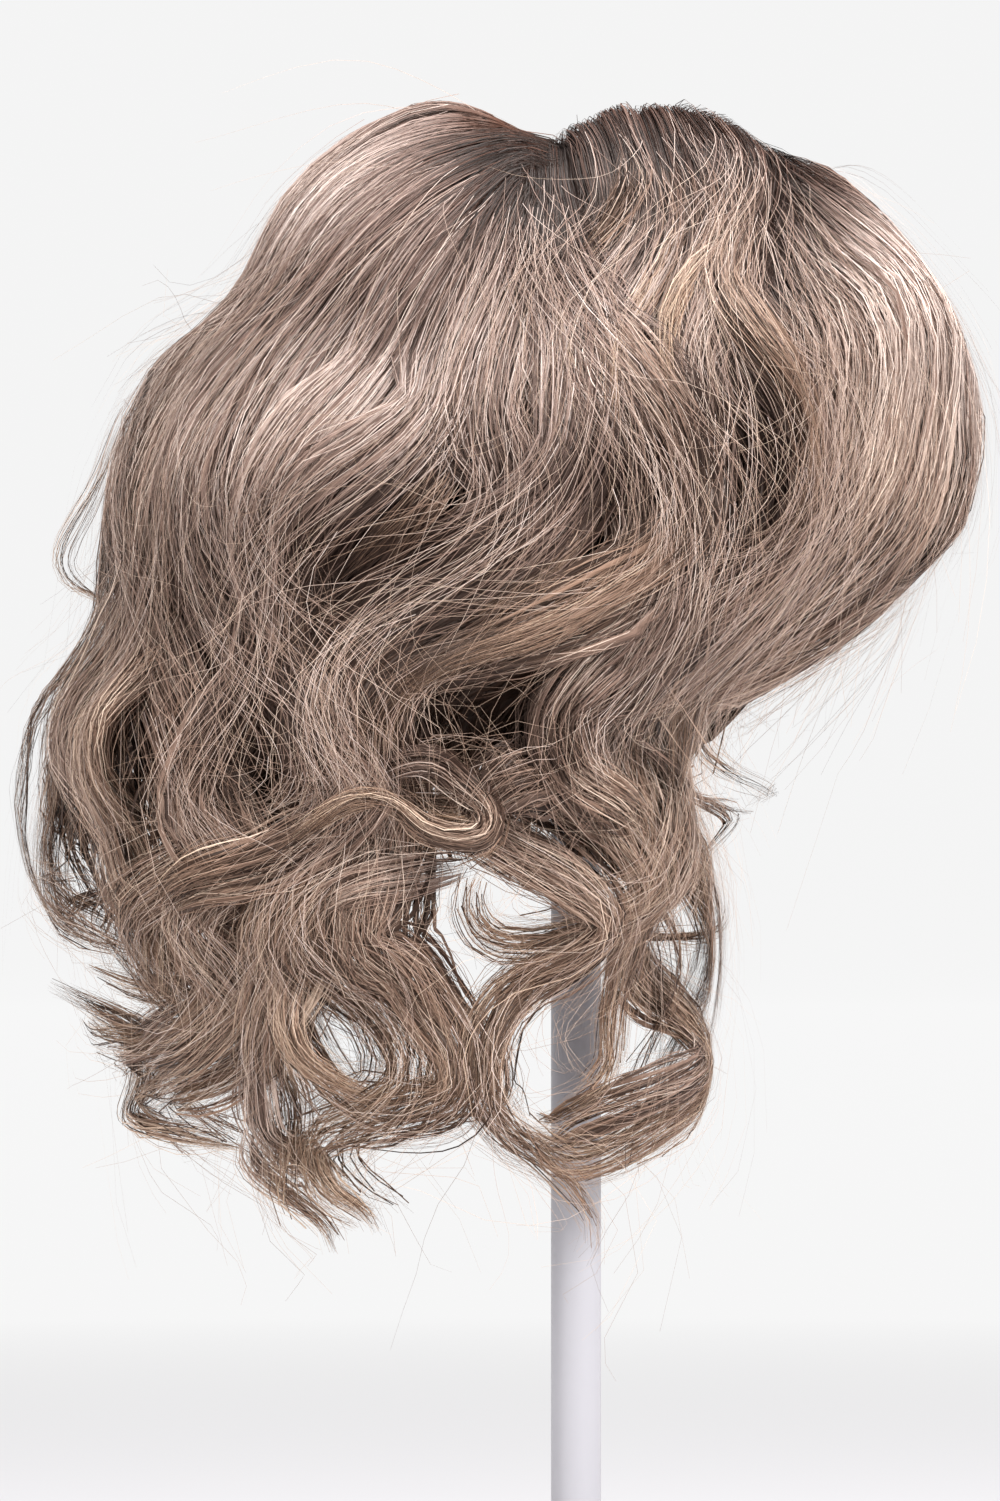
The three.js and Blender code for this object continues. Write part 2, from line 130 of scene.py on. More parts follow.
# Locks of the front in millimetres, a row for each: its root's depth before the pole, its depth as a share of
# the outline's, its width, how many of its bends its partner at the back has, and its bends across and up
Lock = namedtuple("Lock", "name root layer width behind bends")
LOCKS = [
    Lock("crown_left", 3, 1.0, 20, 14, [
        (-13, 493), (-30, 499), (-50, 500), (-72, 491), (-92, 472), (-104, 449), (-120, 429), (-138, 413),
        (-146, 394), (-145, 365), (-140, 335), (-135, 312), (-124, 293), (-109, 276), (-100, 258),
        (-104, 240), (-110, 224), (-118, 210), (-133, 205), (-145, 198), (-147, 188), (-136, 183),
        (-107, 176)]),
    Lock("left_outer", 10, 0.98, 20, 0, [
        (-13, 493), (-36, 499), (-60, 492), (-82, 471), (-97, 447), (-116, 429), (-134, 409), (-142, 382),
        (-141, 355), (-150, 334), (-166, 314), (-175, 292), (-171, 268), (-158, 251), (-143, 241),
        (-134, 229)]),
    Lock("left_loop", 17, 1.0, 20, 12, [
        (-13, 491), (-42, 491), (-68, 479), (-86, 458), (-100, 436), (-118, 417), (-130, 392),
        (-133, 362), (-140, 332), (-151, 310), (-154, 290), (-146, 270), (-134, 252), (-128, 236),
        (-135, 224), (-147, 229)]),
    Lock("left_wave", 24, 1.02, 20, 0, [
        (-13, 489), (-44, 483), (-68, 465), (-84, 445), (-102, 424), (-119, 400), (-124, 370),
        (-117, 342), (-102, 322), (-86, 307), (-84, 291), (-98, 274), (-120, 262), (-134, 248),
        (-132, 230), (-121, 216), (-130, 208), (-145, 209), (-157, 217)]),
    Lock("left_fall", 31, 1.02, 20, 12, [
        (-13, 486), (-40, 476), (-62, 457), (-80, 434), (-97, 409), (-107, 382), (-102, 356), (-88, 338),
        (-72, 324), (-65, 305), (-71, 286), (-88, 272), (-107, 262), (-117, 247), (-108, 230), (-99, 213),
        (-110, 199), (-123, 192), (-121, 184), (-97, 173)]),
    Lock("left_inner", 38, 1.02, 20, 0, [
        (-13, 483), (-36, 464), (-52, 441), (-66, 417), (-84, 396), (-95, 372), (-96, 346), (-103, 322),
        (-114, 302), (-117, 282), (-105, 266), (-88, 256), (-86, 240), (-93, 222), (-99, 203), (-98, 186),
        (-95, 172), (-89, 159), (-79, 147)]),
    Lock("left_front", 45, 1.04, 24, 11, [
        (-13, 479), (-28, 450), (-38, 425), (-45, 403), (-59, 388), (-78, 373), (-92, 354), (-96, 334),
        (-88, 316), (-74, 302), (-62, 290), (-66, 274), (-83, 262), (-92, 244), (-92, 226), (-85, 206),
        (-72, 193), (-56, 188), (-42, 192)]),
    Lock("centre_left", 50, 1.04, 24, 11, [
        (-12, 478), (-16, 452), (-24, 427), (-28, 402), (-22, 381), (-27, 365), (-43, 353), (-62, 342),
        (-76, 328), (-79, 309), (-70, 291), (-72, 272), (-86, 258), (-84, 240), (-70, 226), (-58, 214),
        (-54, 200), (-64, 188), (-80, 180)]),
    Lock("centre", 51, 1.06, 24, 0, [
        (-11, 478), (-7, 455), (1, 432), (2, 408), (-2, 388), (-14, 371), (-34, 358), (-56, 347),
        (-72, 330), (-76, 311), (-66, 293), (-58, 276), (-62, 257), (-66, 242), (-54, 232), (-43, 219),
        (-36, 204), (-39, 192), (-53, 187), (-70, 184), (-84, 177), (-77, 166), (-67, 157), (-66, 147)]),
    Lock("centre_right", 48, 1.06, 22, 0, [
        (-10, 480), (-9, 450), (3, 430), (18, 412), (27, 395), (31, 370), (28, 345), (14, 325), (-1, 311),
        (-3, 296), (8, 284), (26, 275), (36, 264), (39, 240), (40, 215), (36, 194), (26, 176),
        (20, 164)]),
    Lock("hump_inner", 8, 1.04, 22, 12, [
        (6, 500), (12, 487), (14, 470), (6, 453), (-2, 438), (-5, 420), (4, 402), (16, 388), (22, 370),
        (16, 353), (-8, 341), (-32, 333), (-52, 324), (-62, 306), (-58, 291), (-42, 290), (-29, 283),
        (-34, 275), (-48, 276), (-60, 284), (-76, 282)]),
    Lock("hump_left", 4, 1.04, 22, 0, [
        (20, 502), (25, 487), (28, 471), (25, 455), (15, 438), (9, 424), (15, 407), (26, 391), (34, 371),
        (32, 348), (20, 326), (8, 307), (-6, 294), (-22, 289), (-30, 280), (-17, 272), (0, 260), (6, 246),
        (0, 234), (-14, 225), (-27, 210), (-30, 196), (-20, 182), (-5, 173), (4, 160), (3, 146),
        (-8, 135)]),
    Lock("hump_middle", 2, 1.0, 22, 12, [
        (32, 502), (39, 487), (46, 470), (47, 453), (40, 437), (34, 420), (38, 402), (46, 386), (48, 362),
        (40, 340), (28, 322), (22, 300), (25, 279), (18, 259), (4, 247), (-14, 242), (-28, 247),
        (-33, 258), (-22, 266)]),
    Lock("hump_top", 2, 1.0, 22, 0, [
        (44, 499), (52, 489), (50, 473), (42, 459), (36, 444), (40, 427), (47, 410), (48, 385), (42, 360),
        (30, 342), (20, 320), (11, 300), (15, 279), (20, 258), (19, 238), (20, 218), (13, 200), (-2, 189),
        (-14, 182)]),
    Lock("hump_right", 4, 1.0, 22, 12, [
        (52, 496), (60, 487), (57, 470), (50, 455), (47, 440), (53, 424), (64, 410), (71, 392), (70, 370),
        (58, 350), (42, 334), (33, 316), (34, 292), (28, 268), (22, 245), (28, 232), (38, 215), (38, 198),
        (28, 182), (12, 172), (-6, 174), (-20, 185), (-28, 196)]),
    Lock("sweep_outer", 2, 1.0, 24, 11, [
        (60, 488), (80, 485), (100, 469), (116, 446), (125, 418), (126, 392), (117, 367), (101, 349),
        (81, 336), (59, 325), (42, 316), (36, 300), (35, 280), (37, 258), (40, 232), (39, 205)]),
    Lock("sweep_high", 10, 1.0, 24, 0, [
        (60, 486), (82, 475), (102, 450), (111, 420), (109, 390), (97, 362), (78, 345), (57, 331),
        (40, 318), (31, 300), (31, 275)]),
    Lock("sweep_middle", 18, 1.0, 24, 8, [
        (60, 482), (79, 463), (93, 440), (99, 415), (95, 386), (81, 361), (62, 342), (43, 326), (28, 313),
        (14, 303)]),
    Lock("sweep_low", 28, 1.0, 24, 0, [
        (59, 476), (75, 455), (86, 430), (88, 405), (82, 380), (69, 358), (52, 340), (36, 326),
        (20, 315)]),
    Lock("sweep_front", 38, 1.0, 24, 0, [
        (58, 470), (67, 448), (75, 425), (77, 400), (72, 375), (59, 355), (42, 340), (24, 328)]),
]

# Smaller curls and wisps in millimetres: depth as a share of the outline's, negative behind the pole, width,
# share of a lock's strands, their tone, and bends across and up
Curl = namedtuple("Curl", "name layer width share tone bends")
CURLS = [
    Curl("c_lock", 1.06, 14, 0.55, 0.58, [
        (-10, 474), (-8, 450), (9, 428), (22, 411), (31, 395), (34, 378), (26, 362), (6, 349), (-20, 338),
        (-44, 328), (-57, 316), (-62, 303), (-58, 291)]),
    Curl("hump_first", 1.05, 8, 0.25, 0.64, [
        (15, 499), (17, 490), (18, 477), (12, 463), (3, 454), (-3, 444), (-6, 430), (-3, 414)]),
    Curl("hump_second", 1.05, 8, 0.25, 0.58, [
        (24, 499), (27, 488), (31, 474), (32, 463), (25, 450), (13, 432), (8, 416), (12, 400)]),
    Curl("hump_third", 1.05, 8, 0.25, 0.6, [
        (36, 499), (40, 488), (45, 474), (46, 462), (38, 450), (30, 436), (27, 420), (31, 402)]),
    Curl("hump_fourth", 1.08, 10, 0.35, 0.58, [
        (55, 497), (58, 486), (56, 474), (48, 460), (47, 445), (55, 430), (66, 416), (73, 402), (74, 384),
        (66, 366), (54, 350)]),
    Curl("coil", 1.12, 8, 0.3, 0.52, [
        (-66, 286), (-58, 294), (-46, 296), (-35, 289), (-29, 281), (-34, 275), (-46, 277), (-55, 285),
        (-68, 286), (-82, 277), (-98, 267)]),
    Curl("crossing", 1.08, 16, 0.5, 0.52, [
        (-58, 312), (-63, 298), (-70, 287), (-84, 275), (-99, 267), (-116, 261), (-130, 253),
        (-134, 240)]),
    Curl("light_band", 1.08, 12, 0.4, 0.58, [
        (-30, 265), (-50, 262), (-72, 256), (-86, 243), (-91, 226), (-86, 208), (-72, 195), (-58, 190)]),
    Curl("second_loop", 0.95, 14, 0.4, 0.5, [
        (-144, 335), (-158, 314), (-164, 298), (-158, 282), (-147, 267), (-137, 254), (-130, 240),
        (-132, 226), (-141, 226), (-147, 232)]),
    Curl("blunt_tip", 1.05, 11, 0.45, 0.5, [
        (-100, 214), (-98, 196), (-100, 180), (-94, 171), (-84, 170), (-75, 162), (-66, 154),
        (-67, 146)]),
    Curl("thin_tip", 1.0, 6, 0.2, 0.5, [(-101, 186), (-99, 172), (-93, 160), (-85, 151), (-76, 143)]),
    Curl("left_curl", 1.0, 10, 0.3, 0.52, [
        (-112, 226), (-124, 216), (-138, 209), (-150, 211), (-157, 218), (-160, 226)]),
    Curl("left_ring", 1.0, 8, 0.25, 0.52, [
        (-118, 212), (-134, 205), (-144, 203), (-148, 195), (-145, 186), (-136, 183), (-120, 178),
        (-104, 175)]),
    Curl("left_tip", 0.9, 5, 0.12, 0.5, [(-140, 258), (-150, 252), (-162, 246), (-174, 240)]),
    Curl("side_wisp", 0.6, 5, 0.12, 0.5, [
        (-140, 418), (-151, 396), (-160, 372), (-163, 358), (-155, 352), (-143, 342)]),
    Curl("right_fall", 1.08, 14, 0.4, 0.58, [
        (30, 352), (14, 334), (0, 319), (-4, 307), (-2, 296), (6, 286), (19, 279), (34, 270), (39, 258)]),
    Curl("lower_sheet", 0.9, 13, 0.3, 0.45, [
        (37, 214), (32, 202), (20, 193), (4, 185), (-8, 181), (-20, 186)]),
    Curl("right_wisp", 1.0, 3, 0.1, 0.5, [
        (24, 332), (32, 322), (42, 309), (53, 298), (61, 291), (59, 285), (50, 287)]),
    Curl("low_wisp", 1.0, 4, 0.12, 0.5, [(8, 312), (20, 299), (35, 290), (48, 285), (57, 283)]),
    Curl("bent_wisp", 0.8, 3, 0.08, 0.5, [(34, 288), (46, 279), (49, 270), (43, 257)]),
    Curl("back_tip", -0.4, 7, 0.15, 0.5, [
        (2, 322), (6, 296), (10, 270), (18, 250), (30, 242), (42, 242), (52, 247), (58, 258)]),
    Curl("under_left", 1.0, 14, 0.3, 0.42, [(-28, 414), (-36, 394), (-44, 380), (-58, 364), (-74, 350)]),
    Curl("under_right", 1.0, 12, 0.3, 0.42, [(2, 400), (6, 382), (4, 366), (-8, 352), (-30, 340)]),
    Curl("right_side", 0.05, 32, 0.6, 0.46, [
        (34, 480), (54, 484), (76, 478), (95, 462), (111, 440), (121, 416), (122, 392), (113, 368),
        (97, 350), (77, 337)]),
    Curl("left_side", 0.05, 34, 0.8, 0.44, [
        (-2, 480), (-8, 488), (-20, 496), (-34, 501), (-48, 502), (-62, 496), (-77, 483), (-90, 467),
        (-103, 446), (-122, 428), (-138, 408), (-143, 382), (-142, 356), (-137, 330), (-130, 306),
        (-118, 286)]),
    Curl("crest_right", 0.05, 26, 0.4, 0.34, [
        (22, 502), (34, 503), (45, 500), (55, 494), (66, 487), (78, 481), (90, 472), (102, 458),
        (112, 439), (121, 414), (122, 388), (114, 366)]),
]

# Hollows and swells of the front view in millimetres, with painted shade in the hollows and painted highlight
# on the swells: middle, reach, and how much darker or lighter their strands are painted
PaintedLightSpot = namedtuple("PaintedLightSpot", "across up wide high change")
PAINTED_LIGHT_SPOTS = [
    PaintedLightSpot(51, 382, 24, 36, -0.95),
    PaintedLightSpot(66, 460, 14, 24, -0.6),
    PaintedLightSpot(80, 354, 30, 22, -0.32),
    PaintedLightSpot(104, 430, 32, 54, 0.32),
    PaintedLightSpot(32, 486, 44, 24, -0.46),
    PaintedLightSpot(8, 382, 16, 16, -0.36),
    PaintedLightSpot(-14, 472, 26, 20, -0.44),
    PaintedLightSpot(-34, 490, 22, 8, -0.25),
    PaintedLightSpot(-74, 482, 28, 18, 0.2),
    PaintedLightSpot(-84, 412, 46, 24, 0.08),
    PaintedLightSpot(-88, 444, 26, 11, -0.22),
    PaintedLightSpot(-58, 432, 14, 10, -0.2),
    PaintedLightSpot(-62, 348, 34, 26, -0.85),
    PaintedLightSpot(-102, 304, 22, 22, -0.8),
    PaintedLightSpot(-34, 308, 32, 18, -0.45),
    PaintedLightSpot(-132, 352, 16, 22, -0.2),
    PaintedLightSpot(-40, 270, 200, 130, -0.13),
]

# How far a full swell lifts strands, in millimetres, and the share of a spot's painted shade and highlight
# that curls take
SPOT_DEPTH = 20
CURL_SPOT = 0.8

# Inner layer in millimetres: share of the outline's size, top and ragged hem, guides round the pole and their
# bends, how far and from which height its top is tucked in, and its waves
VEIL_LAYER = 0.88
VEIL_TOP = 488
VEIL_HEM = 254
VEIL_RAGGED = 14
VEIL_GUIDES = 44
VEIL_BENDS = 26
VEIL_TUCK = 0.4
VEIL_TUCK_FROM = 440
VEIL_WAVE = 6
VEIL_WAVE_LENGTH = 64

# Locks in millimetres: least depth as a share of the outline's, depth and width of the back ones as shares of
# the front ones', depth of their coils, and the heights where these start and are full
EDGE_DEPTH = 0.14
BACK_DEPTH = 0.9
BACK_WIDTH = 1.5
CURL_DEPTH = 9
CURL_START = 350
CURL_FULL = 280

# Height from which the hair mass closes over the crown, and how far it rises there, in millimetres
CROWN_FROM = 400
CROWN_RISE = 110

# How far back locks and broad strands lie below the crest, in millimetres, and the share of its depth that a
# curl's root is sunk by
BACK_DROP = 3
BROAD_DROP = 3.5
CURL_SUNK = 0.3

# Roots of the locks by the start of their names: rise to the crest in millimetres, share of the lock's width
# over which strands start, and their hidden start in millimetres from the lock's first bend
Root = namedtuple("Root", "rise spread start")
ROOTS = {
    "crown": Root(0, 0.7, [(5, 0, -14)]),
    "left": Root(0, 0.7, [(5, 0, -14)]),
    "centre": Root(0, 0.9, [(0, 42, -2), (0, 30, 11), (0, 15, 8)]),
    "hump": Root(3, 1.6, [(0, 20, -16), (0, 9, -2)]),
    "sweep": Root(0, 0.8, [(-16, 6, -8)]),
}
VEIL_ROOT = Root(0, 1.0, [])
CURL_ROOT = Root(0, 0.7, [])

# Length of a root, and the part of a strand that leaves the crest, in millimetres along it
ROOT_RUN = 40
LEAVING_CREST = (20, 60)

# Strand stations: turn of the lock between two, in radians, least and most millimetres between them, the most
# at a root or on the crest, and the height where the crest begins
STATION_TURN = 0.36
LEAST_STEP = 3.2
MOST_STEP = 14
ROOT_STEP = 7
CREST_FROM = 489

# Reach of a lock's waves and of its bends, in millimetres
CALM_REACH = 60
BEND_REACH = 9

# Waves in depth that the strands share, in millimetres: height of a dark one at the pole, length, slant and
# depth, how far they turn the light, and how far they follow a strand that slides along its lock
BAND_UP = 466
BAND_LENGTH = 78
BAND_SLANT = 40
BAND_DEPTH = 3
BAND_LEAN = 0.9
BAND_SLIDE = 0.1

# Share of a strand's overhang that is left where it would leave the outline
OVERHANG = 0.3

# Share of a lock's width and thickness along it, from root to tip, and its thickness in millimetres
ALONG = [0.0, 0.12, 0.3, 0.5, 0.65, 0.85, 1.0]
WIDTH_ALONG = [1.3, 1.7, 1.6, 1.2, 1.0, 0.6]
THICKNESS_ALONG = [0.5, 0.8, 1.0, 1.0, 0.9, 0.75, 0.5]
LOCK_THICKNESS = 11

# Parts of a lock's length over which strands come loose, start to swing and are drawn into clumps
LOOSENING = (0.04, 0.5)
SWINGING = (0.15, 0.45)
CLUMPING = (0.12, 0.8)

# Distance of strands from their clump's middle, as a share of the lock's half width, how much a clump holds
# them at the root, and how much more at the tip
CLUMP_SPREAD = 0.18
ROOT_HOLD = 0.25
TIP_HOLD = 0.45

# Lengths of clumps and of strands as shares of the lock's, and the share of strands that are shorter still
CLUMP_CUTS = (0.88, 1.0)
STRAND_CUTS = (0.94, 1.0)
SHORT_STRANDS = 0.08
SHORT_CUTS = (0.6, 0.9)

# How far clumps and strands slide along the lock, in millimetres, and how far they follow its waves
CLUMP_SLIDE = 7
STRAND_SLIDE = 4
CLUMP_SWINGS = (0.6, 1.12)
STRAND_SWING = 0.12

# Spread of strands in depth and how deep they lie, as shares of half the lock's thickness
Lie = namedtuple("Lie", "spread middle")
BROAD_LIE = Lie(0.6, -0.5)
FINE_LIE = Lie(0.8, -0.25)

# Drift of clumps and strands from side to side, in millimetres: least and most reach and length of its waves
Drift = namedtuple("Drift", "reaches lengths")
CLUMP_DRIFT = Drift((0.8, 3.0), (60, 130))
CROSSING_DRIFT = Drift((4.0, 9.0), (110, 220))
STRAND_DRIFT = Drift((0.4, 3.2), (32, 90))
STRAY_DRIFT = Drift((3.0, 12.0), (70, 200))

# Share of clumps that cross others, of fine strands that stray, and of the drift in broad ones and in depth
CROSSING_CLUMPS = 0.2
STRAY_STRANDS = 0.2
BROAD_DRIFT = 0.4
DEPTH_DRIFT = 0.7

# Twist of strands in radians, and how far the light on them turns with their place in the lock, their place
# in the clump, their twist and their flat face
BROAD_TWIST = 0.18
FINE_TWIST = 0.45
LOCK_TURN = 0.7
CLUMP_TURN = 2.2
TWIST_TURN = 0.5
FACE_TURN = 0.3

# How far a strand's edges turn away from its middle, as a share of its normal
ROUNDNESS = 0.5

# Width of strands: least and most share of the set one, share at the root, how soon they and a curl's widen,
# and the share that the tip loses
STRAND_WIDTHS = (0.6, 1.25)
ROOT_WIDTH = 0.6
ROOT_WIDENS = 5
CURL_WIDENS = 9
TIP_THINS = 0.8

# Curls: share of the length over which strands start, how far they stray, the growth they start at, and how
# the broad ones widen with the curl's width, in millimetres
RAGGED_ROOT = 0.2
CURL_STRAY = 0.4
CURL_GROWTH = 0.3
CURL_SLIM = 0.3
CURL_SLIM_WIDTH = 30

# Tones: how much locks, clumps and strands differ, painted shade on the broad strands under the fine ones,
# change of fine strands, least and most
LOCK_TONES = 0.05
CLUMP_TONES = 0.12
STRAND_TONES = 0.18
BROAD_PAINTED_SHADE = -0.2
FINE_TONE = 0.06
TONE_RANGE = (0.02, 0.94)

# Loose hairs in millimetres: points, starts along the lock, lengths, places to a side, drift to a side and
# how late it sets in, waves, height off the lock, rise, and how far they follow the lock's waves
LOOSE_STATIONS = 11
LOOSE_STARTS = (0.08, 0.85)
LOOSE_LENGTHS = (40, 150)
LOOSE_SIDES = (-9, 9)
LOOSE_DRIFT = 24
LOOSE_LATE = 1.5
LOOSE_WAVES = Drift((0, 3), (12, 30))
LOOSE_LIFT = 2
LOOSE_RISE = (2, 2.5)
LOOSE_SWINGS = (0.5, 1.1)

# Loose hairs: how far they may leave the solids' box, in millimetres, share of width that the tip loses, tone
# and how much it differs, and the growth they start at and gain
LOOSE_REACH = 12
LOOSE_THINS = 0.7
LOOSE_TONES = (0.6, 0.15)
LOOSE_GROWTH = (0.3, 0.5)

# Share of the strand map that a broad and a fine strand cover
BROAD_SPAN = 0.03
FINE_SPAN = 0.006

# Streaks of the strand map across and along it, and how far they change a strand's tone
STREAKS = (260, 3, 0)
STREAK_DEPTH = 0.36

# Front locks of each piece by the start of their names, and how far their strands stray
FrontPiece = namedtuple("FrontPiece", "name locks stray")
FRONT_PIECES = [
    FrontPiece("hair_crown", ("crown", "left_outer", "left_loop", "left_wave"), 0.5),
    FrontPiece("hair_left", ("left_fall", "left_inner", "left_front"), 0.5),
    FrontPiece("hair_centre", ("centre", "hump_inner"), 0.5),
    FrontPiece("hair_hump", ("hump_left", "hump_middle", "hump_top", "hump_right"), 0.5),
    FrontPiece("hair_sweep", ("sweep",), 0.3),
]

# Locks with strands under them painted darker as shade, by the start of their names, each layer's share of
# their depth with its least and most shift to a side, in millimetres, and its share of their width
LINED_LOCKS = ("crown", "left", "centre")
LINING_LAYERS = [(0.88, (6, 14)), (0.7, (-14, -6))]
LINING_WIDTH = 1.3

# Corners of the stand: what counts as one corner, in metres, and as a sharp one, in degrees
WELD = 0.01 * MM
SHARP = 40

# Stage in metres: how far the camera sees, what the lights point at, the backdrop's sweep, and where its glow
# starts and is full
CAMERA_REACH = 50
LIGHT_AIM = Vector((-0.02, 0, 0.34))
BACKDROP_RADIUS = 8.5
BACKDROP_BEND = 1.5
BACKDROP_HEIGHT = 2.2
GLOW_FROM = 0.2
GLOW_FULL = 1.7

# Softboxes: the setting that holds each one's power, its place and its size in metres
Softbox = namedtuple("Softbox", "name power place size")
SOFTBOXES = [
    Softbox("key light", "key_power", (1.2, -1.2, 1.5), 0.8),
    Softbox("fill light", "fill_power", (-1.6, -1.3, 0.8), 1.2),
    Softbox("top light", "top_power", (-0.1, 0.1, 1.8), 1.0),
]

# Line that strands grow round, the strands themselves, and what shapes them
Guide = namedtuple("Guide", "calm wave across out bend run stations root")
Strands = namedtuple("Strands", "points sides halves normals tones spans along")
Style = namedtuple("Style", "broad fine clump width tone stray start taper broad_width fine_width")


def linear(hex_colour):
    """Linear RGB of an sRGB hex colour."""
    values = [int(hex_colour[i:i + 2], 16) / 255 for i in (1, 3, 5)]
    return tuple(v / 12.92 if v <= 0.04045 else ((v + 0.055) / 1.055) ** 2.4 for v in values)


def colour_setting(name, description, hex_colour):
    """Colour that can be set, from an sRGB hex colour."""
    default = linear(hex_colour)
    return FloatVectorProperty(name=name, description=description, subtype="COLOR", default=default)


def number_setting(name, description, default, unit="NONE"):
    """Number that can be set, in a unit."""
    return FloatProperty(name=name, description=description, default=default, unit=unit)


def count_setting(name, description, default, least=1):
    """Count that can be set."""
    return IntProperty(name=name, description=description, default=default, min=least)


class TopperHair(PropertyGroup):
    """Sizes and colours of the hair."""

    broad_width: number_setting("Broad Strand", "Width of a broad strand", 1.8 * MM, "LENGTH")
    fine_width: number_setting("Fine Strand", "Width of a fine strand", 0.3 * MM, "LENGTH")
    broad_strands: count_setting("Broad Strands", "Broad strands in each lock", 46)
    fine_strands: count_setting("Fine Strands", "Fine strands in each lock", 250)
    clump_strands: count_setting("Clump Strands", "Strands that hold together in a lock", 20, least=2)
    loose_width: number_setting("Loose Hair", "Width of a single loose hair", 0.17 * MM, "LENGTH")
    loose_strands: count_setting("Loose Hairs", "Single hairs that leave the locks", 3400)
    shade: colour_setting("Shade", "Colour of the darkest strands", "#382822")
    body: colour_setting("Body", "Colour of most strands", "#9b8176")
    light: colour_setting("Light", "Colour of the lightest strands", "#f3e1d8")
    root: colour_setting("Root", "Tint of the roots", "#8c6e60")
    gloss: colour_setting("Gloss", "Colour of the strands' gloss", "#fff0e6")
    tip: colour_setting("Tip", "Tint of the tips", "#fff2da")


class TopperStand(PropertyGroup):
    """Colours of the cap, the clips and the stand."""

    white: colour_setting("Stand", "Colour of the stand", "#bab8bd")
    net: colour_setting("Net", "Colour of the cap's net", "#6a564c")
    clip: colour_setting("Clip", "Colour of the snap clips", "#3a3331")


class TopperStage(PropertyGroup):
    """Camera, light and backdrop."""

    distance: number_setting("Camera Distance", "From the camera to the pole", 2.6, "LENGTH")
    backdrop: colour_setting("Backdrop", "Colour of the paper backdrop", "#d0ced1")
    glow: number_setting("Backdrop Glow", "Light from the far part of the backdrop", 0.905)
    key_power: number_setting("Key Light", "Power of the soft light at the right", 56.0, "POWER")
    fill_power: number_setting("Fill Light", "Power of the soft light at the left", 19.0, "POWER")
    top_power: number_setting("Top Light", "Power of the soft light above", 28.0, "POWER")
    sky_strength: number_setting("Room Light", "Strength of the even room light", 0.24)


def smoothstep(value, low, high):
    """0 below low, 1 above high and a smooth rise between them."""
    share = np.clip((value - low) / (high - low), 0, 1)
    return share * share * (3 - 2 * share)


def outline_at(up):
    """Middle, half width and depth of the hair mass at each height."""
    rows = np.array(OUTLINE, float)
    left, right, front = (np.interp(up, rows[:, 0], rows[:, column]) for column in (1, 2, 3))
    return (left + right) / 2, (right - left) / 2, front


def points_on_mass(across, up, layer, behind):
    """Points of the hair mass at places in the front view, before the pole or behind it."""
    middle, half, front = outline_at(up)
    side = np.clip((across - middle) / half, -1, 1)
    depth = layer * front * np.maximum(np.sqrt(1 - side * side), EDGE_DEPTH)
    return np.stack([across, BACK_DEPTH * depth if behind else -depth, up], axis=-1)


def unit(vectors):
    """Vectors of length 1."""
    return vectors / np.maximum(np.linalg.norm(vectors, axis=-1, keepdims=True), 1e-9)


def out_of_mass(points):
    """Directions straight out of the hair mass."""
    middle, half, front = outline_at(points[..., 2])
    rise = np.maximum(points[..., 2] - CROWN_FROM, 0)
    out = [(points[..., 0] - middle) / half ** 2, points[..., 1] / front ** 2, rise / CROWN_RISE ** 2]
    return unit(np.stack(out, axis=-1))


def smooth_path(points, per_bend=24):
    """Centripetal Catmull-Rom curve through points."""
    ends = np.vstack([2 * points[0] - points[1], points, 2 * points[-1] - points[-2]])
    pieces = []
    for one, two, three, four in zip(ends, ends[1:], ends[2:], ends[3:]):
        steps = [np.linalg.norm(b - a) ** 0.5 for a, b in ((one, two), (two, three), (three, four))]
        knots = np.cumsum([0] + steps)
        t = np.linspace(knots[1], knots[2], per_bend, endpoint=False)[:, None]
        a = ((knots[1] - t) * one + (t - knots[0]) * two) / (knots[1] - knots[0])
        b = ((knots[2] - t) * two + (t - knots[1]) * three) / (knots[2] - knots[1])
        c = ((knots[3] - t) * three + (t - knots[2]) * four) / (knots[3] - knots[2])
        d = ((knots[2] - t) * a + (t - knots[0]) * b) / (knots[2] - knots[0])
        e = ((knots[3] - t) * b + (t - knots[1]) * c) / (knots[3] - knots[1])
        pieces.append(((knots[2] - t) * d + (t - knots[1]) * e) / (knots[2] - knots[1]))
    return np.vstack(pieces + [points[-1:]])


CREST_LINE = smooth_path(np.array(CREST, float))


def crest_at(across):
    """Height of the top of the hair at places across it."""
    return np.interp(across, CREST_LINE[:, 0], CREST_LINE[:, 1])


def coil_in_depth(up):
    """Depth of the coils at a path's bends, which deepen as it falls."""
    curled = 1 - smoothstep(up, CURL_FULL, CURL_START)
    return (CURL_DEPTH * curled * np.sin(np.arange(len(up)) * math.pi / 2))[:, None]


def lock_guide(lock, behind=False, layer=1.0, shift=0):
    """Guide of a lock: it leaves the cap, lies on the hair mass and coils in depth as it falls."""
    bends = np.array(lock.bends[:lock.behind] if behind else lock.bends, float)
    across = bends[:, 0] + shift * (1 - smoothstep(bends[:, 1], CURL_START, CROWN_FROM))
    points = points_on_mass(across, bends[:, 1], lock.layer * layer, behind)
    facing = 1 if behind else -1
    points[0, 1] = facing * lock.root
    points = points + out_of_mass(points) * coil_in_depth(bends[:, 1])
    if behind:
        points[:, 2] -= BACK_DROP * smoothstep(points[:, 2], VEIL_TUCK_FROM, CREST_FROM)
    root = ROOTS[lock.name.split("_")[0]]
    points[0, 2] += root.rise
    start = np.array(root.start) * (1, -facing, 1)
    return guide_along(np.vstack([points[0] + start, points]), root)


